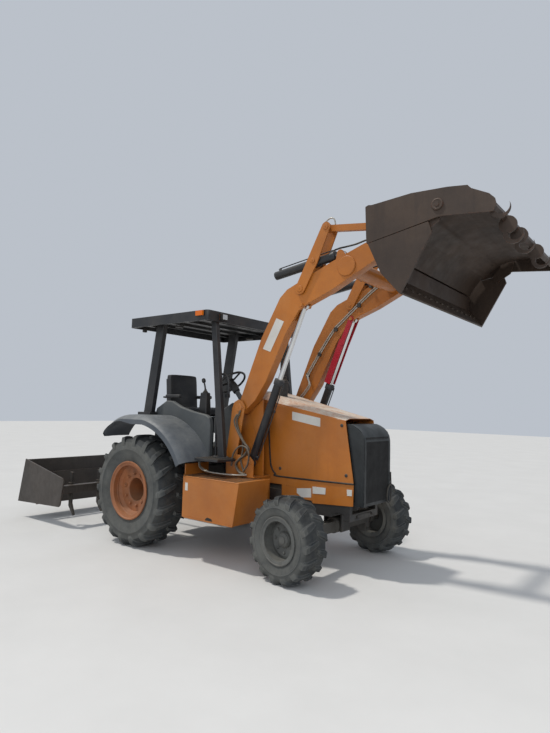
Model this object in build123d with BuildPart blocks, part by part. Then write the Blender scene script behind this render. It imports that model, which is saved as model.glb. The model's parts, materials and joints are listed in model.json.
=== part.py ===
from build123d import *
from math import cos, hypot, radians, sin
import os

os.makedirs("parts", exist_ok=True)

# A tractor loader with a four-in-one bucket and a rear box scraper, in millimetres.
# X runs forward, Y to the left and Z up, with the ground at z = 0. Outlines are given
# from the rear axle line, which stands rear_axle_x from the part's origin.
rear_axle_x = -883.0
wheelbase = 2190.0

# Fits: a pin in its bore, and pieces that pass beside each other
pin_gap = 0.3
side_gap = 10.0

# Wheels
rear_tyre_radius = 640.0
rear_tyre_width = 445.0
rear_track_y = 855.0
rear_rim_radius = 300.0
rear_flange_radius = 335.0
front_tyre_radius = 406.0
front_tyre_width = 298.0
front_track_y = 845.0
front_rim_radius = 195.0
front_flange_radius = 225.0
rear_bead = 176.0
front_bead = 118.0
rear_lugs = 18
front_lugs = 15
lug_sweep = 24.0
rim_wall = 14.0
rear_stub_radius = 60.0
front_stub_radius = 40.0
steer_rest = -7.6
kingpin_y = 640.0
kingpin_radius = 20.0

# Frame and drive line
rail_inner_y = 240.0
rail_outer_y = 292.0
rail_bottom_z = 600.0
rail_top_z = 760.0
rail_rear_x = 150.0
rail_front_x = 2515.0
housing_bottom_z = 480.0
housing_top_z = 900.0
trumpet_radius = 110.0
trumpet_end_y = 600.0
engine_rear_x = 1430.0
engine_front_x = 2300.0
engine_top_z = 1350.0
axle_pivot_z = 430.0
axle_pivot_radius = 30.0

# Hood: half width, sheet, and the slopes of its side edge and its crown
hood_half = 298.0
sheet = 6.0
hood_rear_x = 1300.0
hood_front_x = 2453.0
hood_edge_rear_z = 1710.0
hood_edge_front_z = 1522.0
hood_crown_rear_z = 1830.0
hood_crown_front_z = 1552.0
crown_half = 215.0
panel_seam = 6.0

# Operator station
deck_top_z = 1075.0
deck_sheet = 25.0
deck_half = 600.0
step_outer_y = 880.0
console_inner_y = 560.0
console_outer_y = 620.0
fender_outer_y = 1050.0
fender_top_z = 1535.0
post_inner_y = 625.0
post_outer_y = 685.0
canopy_half = 850.0
canopy_rear_x = -370.0
canopy_front_x = 1000.0
canopy_bottom_z = 2595.0
canopy_top_z = 2710.0
canopy_sheet = 25.0
seat_half = 240.0
seat_pan_z = 1500.0
cushion_height = 120.0
soft_gap = 0.3

# Loader: centre plane of each arm, tube width and tower plates
arm_y = 500.0
arm_half = 55.0
tower_plate = 15.0
tower_inner_y = arm_y - arm_half - side_gap - tower_plate
tower_outer_y = arm_y + arm_half + side_gap + tower_plate
tower_base_z = 885.0
shelf_top_z = 900.0
arm_pivot = (1264.0, 1635.0)
arm_pivot_radius = 28.0
cross_tube = (2589.0, 3038.0)
cross_tube_radius = 85.0

# Lift cylinders: base pin, rod eye and barrel length
lift_base = (1400.0, 1038.0)
lift_eye = (2068.0, 2703.0)
lift_barrel_length = 970.0
lift_rod_tail = 900.0
barrel_radius = 45.0
lift_rod_radius = 25.0
lift_pin_radius = 20.0
eye_half = 20.0
eye_gap = 6.0
bracket_sheet = 12.0
stub_reach = 2.0
boss_reach = 2.5

# Tilt linkage: lever pin, trunnion, lever top, rod eye bracket, bucket pins
lever_pin = (2050.0, 2870.0)
trunnion = (2203.0, 3142.0)
lever_top = (2352.0, 3468.0)
tilt_eye = (2500.0, 3185.0)
bucket_pin = (3130.0, 3260.0)
link_pin = (3380.0, 3325.0)
lever_pin_radius = 25.0
trunnion_radius = 18.0
link_pin_radius = 22.0
bucket_pin_radius = 28.0
tilt_rod_radius = 22.0
tilt_barrel_rear = -530.0
tilt_barrel_front = 235.0
link_half_height = 33.0
link_half_width = 22.0

# Bucket, in its own level frame about the bucket pin, dumped by this angle
dump_angle = -48.0
bucket_half = 1040.0
bucket_side_plate = 20.0
moldboard_half = 985.0
moldboard_sheet = 12.0
clam_inner_y = 1014.0
clam_ear_y = 996.0
clam_hinge = (370.0, 420.0)
clam_hinge_radius = 25.0
clam_ear_radius = 44.0
ear_sheet = 15.0

# Rear hitch: two parallel links carry the scraper level
lower_link_front = (-230.0, 520.0)
lower_link_rear = (-1300.0, 470.0)
lower_link_y = 400.0
top_link_front = (-400.0, 900.0)
hitch_pin_radius = 14.0
scraper_half = 1070.0
scraper_plate = 20.0


def at(x, y, z):
    """A place measured from the rear axle line."""
    return (rear_axle_x + x, y, z)


def side_plane(y):
    """An upright plane along the machine at this Y, drawn forward and up, facing right."""
    return Plane(origin=at(0, y, 0), x_dir=(1, 0, 0), z_dir=(0, -1, 0))


def bucket_plane(y):
    """The bucket's own level frame at this Y, turned about the bucket pin."""
    forward = (cos(radians(dump_angle)), 0, sin(radians(dump_angle)))
    return Plane(origin=at(bucket_pin[0], y, bucket_pin[1]), x_dir=forward, z_dir=(0, -1, 0))


def cross_plane(x):
    """An upright plane across the machine at this X, drawn left and up, facing forward."""
    return Plane(origin=at(x, 0, 0), x_dir=(0, 1, 0), z_dir=(1, 0, 0))


def span(side, near, far):
    """The low and high Y of a piece that lies between two distances from the centre plane."""
    return sorted((side * near, side * far))


def plate(points, low, high, frame=side_plane, mode=Mode.ADD):
    """A plate between two Y stations, outlined by its corners."""
    with BuildSketch(frame(high)) as outline:
        with BuildLine():
            Polyline(*points, close=True)
        make_face()
    extrude(outline.sketch, amount=high - low, mode=mode)


def disc(centre, radius, low, high, frame=side_plane, mode=Mode.ADD):
    """A round boss, pin or bore along Y."""
    with BuildSketch(frame(high)) as outline:
        with Locations(centre):
            Circle(radius)
    extrude(outline.sketch, amount=high - low, mode=mode)


def hull_plate(circles, low, high, frame=side_plane, mode=Mode.ADD):
    """A plate whose edge wraps round circles, each given as x, z, radius."""
    with BuildSketch(frame(high)) as outline:
        for x, z, radius in circles:
            with Locations((x, z)):
                Circle(radius)
        make_hull()
    extrude(outline.sketch, amount=high - low, mode=mode)


def block(x_low, x_high, y_low, y_high, z_low, z_high, mode=Mode.ADD):
    """A square block between six stations."""
    middle = at((x_low + x_high) / 2, (y_low + y_high) / 2, (z_low + z_high) / 2)
    with Locations(middle):
        Box(x_high - x_low, y_high - y_low, z_high - z_low, mode=mode)


def along(start, finish):
    """The length and the unit direction from one pivot to another."""
    length = hypot(finish[0] - start[0], finish[1] - start[1])
    return length, ((finish[0] - start[0]) / length, (finish[1] - start[1]) / length)


def rod(start, direction, y, near, far, radius, mode=Mode.ADD):
    """A round bar in an upright plane, between two distances along a direction."""
    origin = at(start[0] + direction[0] * near, y, start[1] + direction[1] * near)
    with BuildSketch(Plane(origin=origin, x_dir=(0, 1, 0), z_dir=(direction[0], 0, direction[1]))) as section:
        Circle(radius)
    extrude(section.sketch, amount=far - near, mode=mode)


def turned(profile, plane, axis, mode=Mode.ADD):
    """A solid of revolution from a closed profile of radius and distance along the axis."""
    with BuildSketch(plane) as section:
        with BuildLine():
            Polyline(*profile, close=True)
        make_face()
    revolve(section.sketch, axis=axis, mode=mode)


def write(piece, name):
    piece.part.label = name
    export_step(piece.part, f"parts/{name}.step")


# Main frame: two rails, a front cross beam, and the bolster that holds the front axle's pivot
pivot_plate = 20.0
pivot_plate_half = 90.0
bolster_half_x = 105.0
axle_half_x = 85.0
with BuildPart() as main_frame:
    for side in (1, -1):
        low, high = span(side, rail_inner_y, rail_outer_y)
        block(rail_rear_x, rail_front_x, low, high, rail_bottom_z, rail_top_z)
    block(rail_front_x - 75, rail_front_x, -rail_outer_y, rail_outer_y, 530, rail_bottom_z)
    block(wheelbase - bolster_half_x, wheelbase + bolster_half_x, -rail_outer_y, rail_outer_y, 555, rail_bottom_z)
    for end in (1, -1):
        near, far = span(end, axle_half_x + 5, axle_half_x + 5 + pivot_plate)
        block(wheelbase + near, wheelbase + far, -pivot_plate_half, pivot_plate_half, 370, rail_bottom_z)
    with BuildSketch(cross_plane(wheelbase - axle_half_x - 5 - pivot_plate)) as pivot:
        with Locations((0, axle_pivot_z)):
            Circle(axle_pivot_radius)
    extrude(pivot.sketch, amount=2 * (axle_half_x + 5 + pivot_plate))
    # Two tie-down holes through the front cross beam
    with BuildSketch(cross_plane(rail_front_x - 80)) as holes:
        with Locations((150, 565), (-150, 565)):
            Circle(16)
    extrude(holes.sketch, amount=90, mode=Mode.SUBTRACT)
write(main_frame, "main_frame")

# Engine: one plain block between the rails
with BuildPart() as engine_block:
    block(engine_rear_x, engine_front_x, -rail_inner_y, rail_inner_y, rail_bottom_z, engine_top_z)
    fillet(engine_block.edges().filter_by(Axis.X), 30)
write(engine_block, "engine_block")

# Rear axle: gearbox housing, tapered trumpets, stubs and the hitch brackets
with BuildPart() as rear_axle:
    block(-330, 400, -rail_inner_y, rail_inner_y, housing_bottom_z, housing_top_z)
    for side in (1, -1):
        outward = Plane(origin=at(0, 0, rear_tyre_radius), x_dir=(0, 0, 1), z_dir=(-side, 0, 0))
        profile = [(0, rail_inner_y - 10), (150, rail_inner_y - 10), (trumpet_radius, rail_inner_y + 110),
                   (trumpet_radius - 15, trumpet_end_y - 40), (150, trumpet_end_y - 30), (150, trumpet_end_y),
                   (rear_stub_radius, trumpet_end_y), (rear_stub_radius, trumpet_end_y + 120),
                   (0, trumpet_end_y + 120)]
        turned(profile, outward, Axis(at(0, 0, rear_tyre_radius), (0, side, 0)))
        for near in (lower_link_y - 34, lower_link_y + 22):
            low, high = span(side, near, near + 12)
            hull_plate([(0, rear_tyre_radius, 80), (*lower_link_front, 34)], low, high)
        low, high = span(side, lower_link_y - 34, lower_link_y + 34)
        disc(lower_link_front, hitch_pin_radius, low, high)
        low, high = span(side, 22, 34)
        hull_plate([(-315, 860, 30), (*top_link_front, 28)], low, high)
    disc(top_link_front, hitch_pin_radius, -34, 34)
write(rear_axle, "rear_axle")

# Front axle: a centre housing that rocks on the bolster's pin, with a fork at each kingpin
fork_half_x = 42.0
fork_sheet = 26.0
kingpin_housing = 105.0
with BuildPart() as front_axle:
    centre_line = Axis(at(wheelbase, 0, axle_pivot_z), (0, 1, 0))
    upright = Plane(origin=at(wheelbase, 0, axle_pivot_z), x_dir=(0, 0, 1), z_dir=(-1, 0, 0))
    turned([(0, -120), (axle_half_x, -90), (axle_half_x, 90), (0, 120)], upright, centre_line)
    for side in (1, -1):
        low, high = span(side, 60, kingpin_y - 70)
        block(wheelbase - 45, wheelbase + 45, low, high, axle_pivot_z - 62, axle_pivot_z + 48)
        low, high = span(side, kingpin_y - 95, kingpin_y - 70)
        block(wheelbase - fork_half_x, wheelbase + fork_half_x, low, high,
              front_tyre_radius - kingpin_housing - fork_sheet - 3, front_tyre_radius + kingpin_housing + fork_sheet + 3)
        low, high = span(side, kingpin_y - 95, kingpin_y + 36)
        for near in (kingpin_housing + 3, -kingpin_housing - 3 - fork_sheet):
            block(wheelbase - fork_half_x, wheelbase + fork_half_x, low, high,
                  front_tyre_radius + near, front_tyre_radius + near + fork_sheet)
        with BuildSketch(Plane.XY.offset(front_tyre_radius - kingpin_housing - 10)) as pin:
            with Locations(at(wheelbase, side * kingpin_y, 0)[:2]):
                Circle(kingpin_radius)
        extrude(pin.sketch, amount=2 * (kingpin_housing + 10))
    with BuildSketch(cross_plane(wheelbase - 200)) as bore:
        with Locations((0, axle_pivot_z)):
            Circle(axle_pivot_radius + pin_gap)
    extrude(bore.sketch, amount=400, mode=Mode.SUBTRACT)
write(front_axle, "front_axle")


def steered(side):
    """Centre, outward axis and sketch plane of a front wheel at its rest steer."""
    turn = radians(steer_rest)
    outward = (-side * sin(turn), side * cos(turn), 0)
    reach = front_track_y - kingpin_y
    pin = at(wheelbase, side * kingpin_y, front_tyre_radius)
    centre = (pin[0] + outward[0] * reach, pin[1] + outward[1] * reach, pin[2])
    normal = Vector(0, 0, 1).cross(Vector(*outward))
    return Plane(origin=centre, x_dir=(0, 0, 1), z_dir=normal), Axis(centre, outward)


def straight(side):
    """Centre plane and axis of a rear wheel."""
    centre = at(0, side * rear_track_y, rear_tyre_radius)
    outward = Vector(0, side, 0)
    return Plane(origin=centre, x_dir=(0, 0, 1), z_dir=Vector(0, 0, 1).cross(outward)), Axis(centre, outward)


def across_axle(distance):
    """A plane square to a wheel's axle, in the wheel's own frame: Z outward and X up."""
    return Plane(origin=(0, 0, distance), x_dir=(1, 0, 0), z_dir=(0, 0, 1))


def drum(sections, sides, mode=Mode.ADD):
    """A faceted drum along the axle, each section given as its distance and the radius of its flats."""
    drawn = []
    for distance, radius in sections:
        with BuildSketch(across_axle(distance)) as section:
            RegularPolygon(radius, sides, major_radius=False, rotation=180 + 180 / sides)
        drawn.append(section.sketch)
    loft(drawn, ruled=True, mode=mode)


def lug(radius, width, half_thick, sweep, hand):
    """One tread bar from the centre line out over the shoulder, swept back by an angle."""
    heading = Vector(0, sin(radians(sweep)), hand * cos(radians(sweep)))
    reach = width / cos(radians(sweep))
    with BuildPart(mode=Mode.PRIVATE) as bar:
        with BuildSketch(Plane(origin=(0, 0, 0), x_dir=heading, z_dir=heading.cross(Vector(1, 0, 0)))) as outline:
            with BuildLine():
                Polyline((0.02 * reach, radius - 45), (0.02 * reach, radius), (0.38 * reach, radius - 8),
                         (0.49 * reach, radius - 50), (0.46 * reach, radius - 120), close=True)
            make_face()
        extrude(outline.sketch, amount=half_thick, both=True)
    return bar.part


def lugged_tyre(radius, width, seat, bead, tread, lugs, half_thick, sweep):
    """A tyre in its own frame: a faceted carcass with two rows of bars fused to its tread."""
    wall = radius - seat
    crown = radius - tread
    half = [(0.478 * width, seat + 0.61 * wall), (0.40 * width, crown)]
    with BuildPart(mode=Mode.PRIVATE) as tyre:
        drum([(-d, r) for d, r in half] + [(d, r) for d, r in reversed(half)], lugs)
        for hand in (1, -1):
            first = 180 + (0 if hand > 0 else 180 / lugs)
            with Locations(*[Rotation(0, 0, first + 360 / lugs * index) for index in range(lugs)]):
                add(lug(radius, width, half_thick, sweep, hand))
        for hand in (1, -1):
            drum([(hand * bead, seat + 0.16 * wall), (hand * width / 2, seat + 0.58 * wall)], lugs, mode=Mode.SUBTRACT)
        drum([(-width / 2, seat), (width / 2, seat)], lugs, mode=Mode.SUBTRACT)
    return tyre.part


def wheel_frame(axis):
    """The wheel's own frame at its centre, Z along the axle outward and X up."""
    return Plane(origin=axis.position, x_dir=(0, 0, 1), z_dir=axis.direction)


def rear_rim_profile():
    """Flanged barrel with a dished disc and a hub tube that runs in to the axle."""
    barrel = rear_rim_radius
    inner = barrel - rim_wall
    flange = rear_flange_radius
    hub = rear_stub_radius + pin_gap
    return [(flange, 202), (flange, 190), (barrel, rear_bead), (barrel, -rear_bead), (flange, -190), (flange, -202),
            (inner, -190), (inner, 100), (252, 72), (148, 66), (148, -186), (hub, -186), (hub, -160),
            (132, -160), (132, 76), (140, 84), (250, 92), (inner, 118), (inner, 190)]


def front_rim_profile():
    """Flanged barrel, dished disc and a domed hub over the stub."""
    barrel = front_rim_radius
    inner = barrel - rim_wall
    flange = front_flange_radius
    hub = front_stub_radius + pin_gap
    return [(flange, 140), (flange, 128), (barrel, front_bead), (barrel, -front_bead), (flange, -128), (flange, -140),
            (inner, -130), (inner, 10), (hub, -10), (hub, 24), (0, 24), (0, 62), (60, 58), (72, 46), (78, 30),
            (150, 40), (inner, 28), (inner, 132)]


# Knuckles: a housing on each kingpin with its stub axle
for side, name in ((1, "knuckle_left"), (-1, "knuckle_right")):
    plane, axis = steered(side)
    reach = front_track_y - kingpin_y
    with BuildPart() as knuckle:
        with BuildSketch(Plane.XY.offset(front_tyre_radius - kingpin_housing)) as housing:
            with Locations(at(wheelbase, side * kingpin_y, 0)[:2]):
                Circle(42)
        extrude(housing.sketch, amount=2 * kingpin_housing)
        turned([(0, -reach + 10), (60, -reach + 10), (60, -reach + 70), (front_stub_radius, -reach + 85),
                (front_stub_radius, 20), (0, 20)], plane, axis)
        with BuildSketch(Plane.XY.offset(front_tyre_radius - kingpin_housing - 1)) as bore:
            with Locations(at(wheelbase, side * kingpin_y, 0)[:2]):
                Circle(kingpin_radius + pin_gap)
        extrude(bore.sketch, amount=2 * kingpin_housing + 2, mode=Mode.SUBTRACT)
    write(knuckle, name)

# Tyres and rims
for side, hand in ((1, "left"), (-1, "right")):
    plane, axis = straight(side)
    with BuildPart() as rear_tyre:
        with Locations(wheel_frame(axis)):
            add(lugged_tyre(rear_tyre_radius, rear_tyre_width, rear_rim_radius, rear_bead, 28, rear_lugs, 27,
                            side * lug_sweep))
    write(rear_tyre, f"rear_tyre_{hand}")
    with BuildPart() as rear_rim:
        turned(rear_rim_profile(), plane, axis)
    write(rear_rim, f"rear_rim_{hand}")
    plane, axis = steered(side)
    with BuildPart() as front_tyre:
        with Locations(wheel_frame(axis)):
            add(lugged_tyre(front_tyre_radius, front_tyre_width, front_rim_radius, front_bead, 22, front_lugs, 20,
                            side * lug_sweep))
    write(front_tyre, f"front_tyre_{hand}")
    with BuildPart() as front_rim:
        turned(front_rim_profile(), plane, axis)
    write(front_rim, f"front_rim_{hand}")


def hood_section(x, drop, inset):
    """The hood's cross-section at one X: two low side edges and a raised flat crown."""
    share = (x - hood_rear_x) / (hood_front_x - hood_rear_x)
    edge = hood_edge_rear_z + share * (hood_edge_front_z - hood_edge_rear_z)
    crown = hood_crown_rear_z + share * (hood_crown_front_z - hood_crown_rear_z)
    shoulder = edge + 0.3 * (crown - edge) - drop / 3
    crown = crown - drop
    half = hood_half - inset
    return [(half, edge), (half, shoulder), (crown_half, crown), (-crown_half, crown), (-half, shoulder), (-half, edge)]


# Hood top: a lofted sheet, open below, resting on the side panels
stack_x = 1500.0
stack_y = -100.0
stack_radius = 56.0
with BuildPart() as hood_top:
    for drop, inset, mode in ((0, 0, Mode.ADD), (sheet, sheet, Mode.SUBTRACT)):
        sections = []
        for x in (hood_rear_x, hood_front_x):
            with BuildSketch(cross_plane(x)) as section:
                with BuildLine():
                    Polyline(*hood_section(x, drop, inset), close=True)
                make_face()
            sections.append(section.sketch)
        loft(sections, mode=mode)
    with Locations(at(stack_x, stack_y, 1800)):
        Cylinder(stack_radius + 8, 400, mode=Mode.SUBTRACT)
write(hood_top, "hood_top")


def hood_edge_z(x):
    """Height of the hood's side edge, where the side panels meet it."""
    share = (x - hood_rear_x) / (hood_front_x - hood_rear_x)
    return hood_edge_rear_z + share * (hood_edge_front_z - hood_edge_rear_z)


# Hood side panels and the fixed skirts round them
panel_rear_x = 1446.0
panel_corner = 150.0
panel_points = [(panel_rear_x, hood_edge_z(panel_rear_x)), (hood_front_x, hood_edge_front_z), (2556, 908),
                (1560, 893), (1500, 1079)]
with BuildPart() as hood_sides:
    for side in (1, -1):
        low, high = span(side, hood_half - sheet, hood_half)
        with BuildSketch(side_plane(high)) as outline:
            with BuildLine():
                Polyline(*panel_points, close=True)
            make_face()
            fillet(outline.vertices().group_by(Axis.Y)[0].sort_by(Axis.X)[:1], panel_corner)
        extrude(outline.sketch, amount=sheet)
write(hood_sides, "hood_sides")

skirt_points = [(hood_rear_x, hood_edge_rear_z), (hood_front_x, hood_edge_front_z), (2556, 908), (2552, 690),
                (2079, 665), (2049, 775), (1671, 815), (1525, 815), (1525, 905), (hood_rear_x, 905)]
with BuildPart() as side_skirts:
    for side in (1, -1):
        low, high = span(side, hood_half - sheet, hood_half)
        plate(skirt_points, low, high)
        with BuildSketch(side_plane(high)) as outline:
            with BuildLine():
                Polyline(*panel_points, close=True)
            make_face()
            fillet(outline.vertices().group_by(Axis.Y)[0].sort_by(Axis.X)[:1], panel_corner)
            offset(amount=panel_seam)
        extrude(outline.sketch, amount=sheet, mode=Mode.SUBTRACT)
write(side_skirts, "side_skirts")

# Front guard: side cheeks, cap and foot round a screen of bars
guard_half = 275.0
guard_cheek = 20.0
guard_outline = [(2556, 908), (2462, 1470), (2500, 1478), (2590, 1440), (2634, 1370), (2652, 690),
                 (rail_front_x + 40, 690), (rail_front_x + 40, 908)]
with BuildPart() as front_guard:
    for side in (1, -1):
        low, high = span(side, guard_half - guard_cheek, guard_half)
        plate(guard_outline, low, high)
    plate([(2462, 1470), (2500, 1478), (2590, 1440), (2634, 1370), (2622, 1366), (2580, 1430), (2498, 1466),
           (2465, 1458)], -guard_half, guard_half)
    block(rail_front_x, 2648, -guard_half, guard_half, 690, 720)
    for level in range(8):
        block(2610, 2622, -guard_half, guard_half, 780 + 72 * level, 800 + 72 * level)
write(front_guard, "front_guard")

# Side boxes: tank and step boxes under the platform, with a taller rear plate
box_inner_y = arm_y + 5
box_outer_y = 1000.0
box_top_z = 880.0
box_bottom_z = 455.0
with BuildPart() as side_boxes:
    for side in (1, -1):
        low, high = span(side, box_inner_y, box_outer_y)
        plate([(760, box_bottom_z), (1600, box_bottom_z), (1669, box_top_z), (760, box_top_z)], low, high)
        corner = [(750, side * (box_outer_y - 110)), (880, side * (box_outer_y + 10)), (750, side * (box_outer_y + 10))]
        with BuildSketch(Plane(origin=at(0, 0, 0), x_dir=(1, 0, 0), z_dir=(0, 0, 1))) as cut:
            with BuildLine():
                Polyline(*corner, close=True)
            make_face()
        extrude(cut.sketch, amount=1000, mode=Mode.SUBTRACT)
        low, high = span(side, box_inner_y + 20, box_outer_y - 120)
        block(760, 775, low, high, box_top_z, 1000)
write(side_boxes, "side_boxes")

# Loader towers: inner and outer plates with the arm and cylinder pins between them
with BuildPart() as loader_towers:
    for side in (1, -1):
        low, high = span(side, rail_outer_y, box_inner_y)
        block(1120, 1500, low, high, rail_bottom_z, tower_base_z)
        low, high = span(side, rail_outer_y, tower_outer_y)
        block(1100, 1510, low, high, tower_base_z, shelf_top_z)
        low, high = span(side, tower_inner_y, tower_inner_y + tower_plate)
        plate([(1100, shelf_top_z), (1510, shelf_top_z), (1509, 1094), (1485, 1729), (1310, 1740), (1200, 1700),
               (1160, 1620), (1142, 1448)], low, high)
        low, high = span(side, tower_outer_y - tower_plate, tower_outer_y)
        plate([(1100, shelf_top_z), (1490, shelf_top_z), (1490, 1060), (1440, 1110), (1250, 1120), (1335, 1580),
               (1350, 1640), (1310, 1706), (1250, 1722), (1190, 1690), (1160, 1620), (1142, 1448), (1092, 1100)],
              low, high)
        low, high = span(side, tower_inner_y, tower_outer_y)
        plate([(1104, shelf_top_z), (1120, shelf_top_z), (1161, 1448), (1145, 1448)], low, high)
        disc(arm_pivot, arm_pivot_radius, low, high)
        disc(lift_base, lift_pin_radius, low, high)
write(loader_towers, "loader_towers")

# Floor deck: plate round the towers, steps outboard and its stands on the frame
with BuildPart() as floor_deck:
    deck_bottom = deck_top_z - deck_sheet
    block(-330, 1085, -deck_half, deck_half, deck_bottom, deck_top_z)
    block(1080, hood_rear_x, -tower_inner_y + 10, tower_inner_y - 10, deck_bottom, deck_top_z)
    for side in (1, -1):
        low, high = span(side, deck_half - 5, step_outer_y)
        block(905, 1250, low, high, deck_bottom, deck_top_z)
        low, high = span(side, rail_inner_y, rail_outer_y)
        block(800, 860, low, high, rail_top_z, deck_bottom)
    block(-250, -150, -rail_inner_y, rail_inner_y, housing_top_z, deck_bottom)
write(floor_deck, "floor_deck")

# Dash cowl with the steering column
column_top = (612.0, 1936.0)
column_foot = (930.0, 1560.0)
with BuildPart() as dash_cowl:
    plate([(1080, deck_top_z), (hood_rear_x, deck_top_z), (hood_rear_x, 1800), (1190, 1812), (930, 1660),
           (905, 1560), (1040, 1500)], -hood_half + sheet, hood_half - sheet)
    length, direction = along(column_foot, column_top)
    rod(column_foot, direction, 0, 0, length, 30)
write(dash_cowl, "dash_cowl")

# Steering wheel on the column's end
wheel_radius = 190.0
with BuildPart() as steering_wheel:
    length, direction = along(column_foot, column_top)
    rod(column_top, direction, 0, 0, 26, 38)
    origin = at(column_top[0] + direction[0] * 14, 0, column_top[1] + direction[1] * 14)
    facing = Vector(direction[0], 0, direction[1])
    across = Vector(0, 1, 0)
    with BuildSketch(Plane(origin=origin, x_dir=across, z_dir=across.cross(facing))) as rim:
        with Locations((wheel_radius, 0)):
            RegularPolygon(14, 8)
    revolve(rim.sketch, axis=Axis(origin, facing))
    for turn in (30, 150, 270):
        spoke_dir = across.rotate(Axis((0, 0, 0), facing), turn)
        with BuildSketch(Plane(origin=origin, x_dir=facing, z_dir=spoke_dir)) as spoke:
            Rectangle(10, 26)
        extrude(spoke.sketch, amount=wheel_radius)
write(steering_wheel, "steering_wheel")

# Seat: a pedestal with pan and back frame, and the pads that stand on it
back_foot_x = -330.0
back_lean = 0.085
with BuildPart() as seat_base:
    block(-200, 150, -180, 180, deck_top_z, seat_pan_z - 12)
    block(back_foot_x - 20, 230, -seat_half + 10, seat_half - 10, seat_pan_z - 12, seat_pan_z)
    rise = 490
    plate([(back_foot_x - 20, seat_pan_z), (back_foot_x, seat_pan_z), (back_foot_x - back_lean * rise, seat_pan_z + rise),
           (back_foot_x - 20 - back_lean * rise, seat_pan_z + rise)], -seat_half + 30, seat_half - 30)
write(seat_base, "seat_base")

with BuildPart() as seat_pads:
    bottom = seat_pan_z + soft_gap
    block(-190, 235, -seat_half, seat_half, bottom, bottom + cushion_height)
    rise = 550
    front = back_foot_x + 125
    plate([(back_foot_x + soft_gap, bottom), (front, bottom), (front - back_lean * rise, bottom + rise),
           (back_foot_x + soft_gap - back_lean * rise, bottom + rise)], -seat_half, seat_half)
write(seat_pads, "seat_pads")

# Rear fenders: a sheet bent over each tyre, flat on top
fender_sheet = 15.0
with BuildPart() as rear_fenders:
    for side in (1, -1):
        low, high = span(side, console_outer_y, fender_outer_y)
        with BuildSketch(side_plane(high)) as section:
            with BuildLine():
                ThreePointArc((-570, 1250), (-448, 1433), (-250, fender_top_z))
                Line((-250, fender_top_z), (200, fender_top_z))
                ThreePointArc((200, fender_top_z), (590, 1375), (890, 1035))
                offset(amount=fender_sheet, side=Side.RIGHT)
            make_face()
        extrude(section.sketch, amount=high - low)
write(rear_fenders, "rear_fenders")

# Consoles beside the seat
with BuildPart() as fender_consoles:
    for side in (1, -1):
        low, high = span(side, console_inner_y, console_outer_y)
        plate([(-90, deck_top_z), (-63, 1681), (203, 1696), (563, 1496), (820, 1459), (862, 1410), (871, deck_top_z)],
              low, high)
write(fender_consoles, "fender_consoles")

# Roll-over posts: rear pair on the fenders, front pair on the steps
with BuildPart() as rops_posts:
    ceiling = canopy_top_z - canopy_sheet
    for side in (1, -1):
        low, high = span(side, post_inner_y, post_outer_y)
        plate([(-240, fender_top_z), (-96, fender_top_z), (92, ceiling), (-45, ceiling)], low, high)
        plate([(1065, deck_top_z), (1155, deck_top_z), (958, ceiling), (880, ceiling)], low, high)
write(rops_posts, "rops_posts")

# Canopy: a roof tray with a deep rim
with BuildPart() as canopy:
    block(canopy_rear_x, canopy_front_x, -canopy_half, canopy_half, canopy_bottom_z, canopy_top_z)
    fillet(canopy.edges().filter_by(Axis.Z), 40)
    block(canopy_rear_x + canopy_sheet, canopy_front_x - canopy_sheet, -canopy_half + canopy_sheet,
          canopy_half - canopy_sheet, canopy_bottom_z - 1, canopy_top_z - canopy_sheet, mode=Mode.SUBTRACT)
write(canopy, "canopy")

# Lamps on the canopy: flashers at the front corners, work lamps on the front and under the rim
with BuildPart() as lamps:
    for side in (1, -1):
        low, high = span(side, canopy_half, canopy_half + 28)
        block(canopy_front_x - 170, canopy_front_x - 60, low, high, canopy_top_z - 62, canopy_top_z - 8)
        low, high = span(side, 560, 660)
        block(canopy_front_x, canopy_front_x + 36, low, high, canopy_bottom_z + 22, canopy_bottom_z + 92)
        low, high = span(side, canopy_half - 130, canopy_half - canopy_sheet)
        block(-120, -60, low, high, canopy_bottom_z + 10, canopy_bottom_z + 80)
write(lamps, "lamps")

# Exhaust stack, standing on the engine and through the hood
with BuildPart() as exhaust:
    with BuildSketch(Plane(origin=at(stack_x, stack_y, 0), x_dir=(1, 0, 0), z_dir=(0, -1, 0))) as section:
        with BuildLine():
            Polyline((0, engine_top_z), (stack_radius, engine_top_z), (stack_radius, 1950), (36, 1980), (36, 2360),
                     (29, 2360), (29, 1990), (0, 1990), close=True)
        make_face()
    revolve(section.sketch, axis=Axis(at(stack_x, stack_y, 0), (0, 0, 1)))
write(exhaust, "exhaust")

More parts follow.
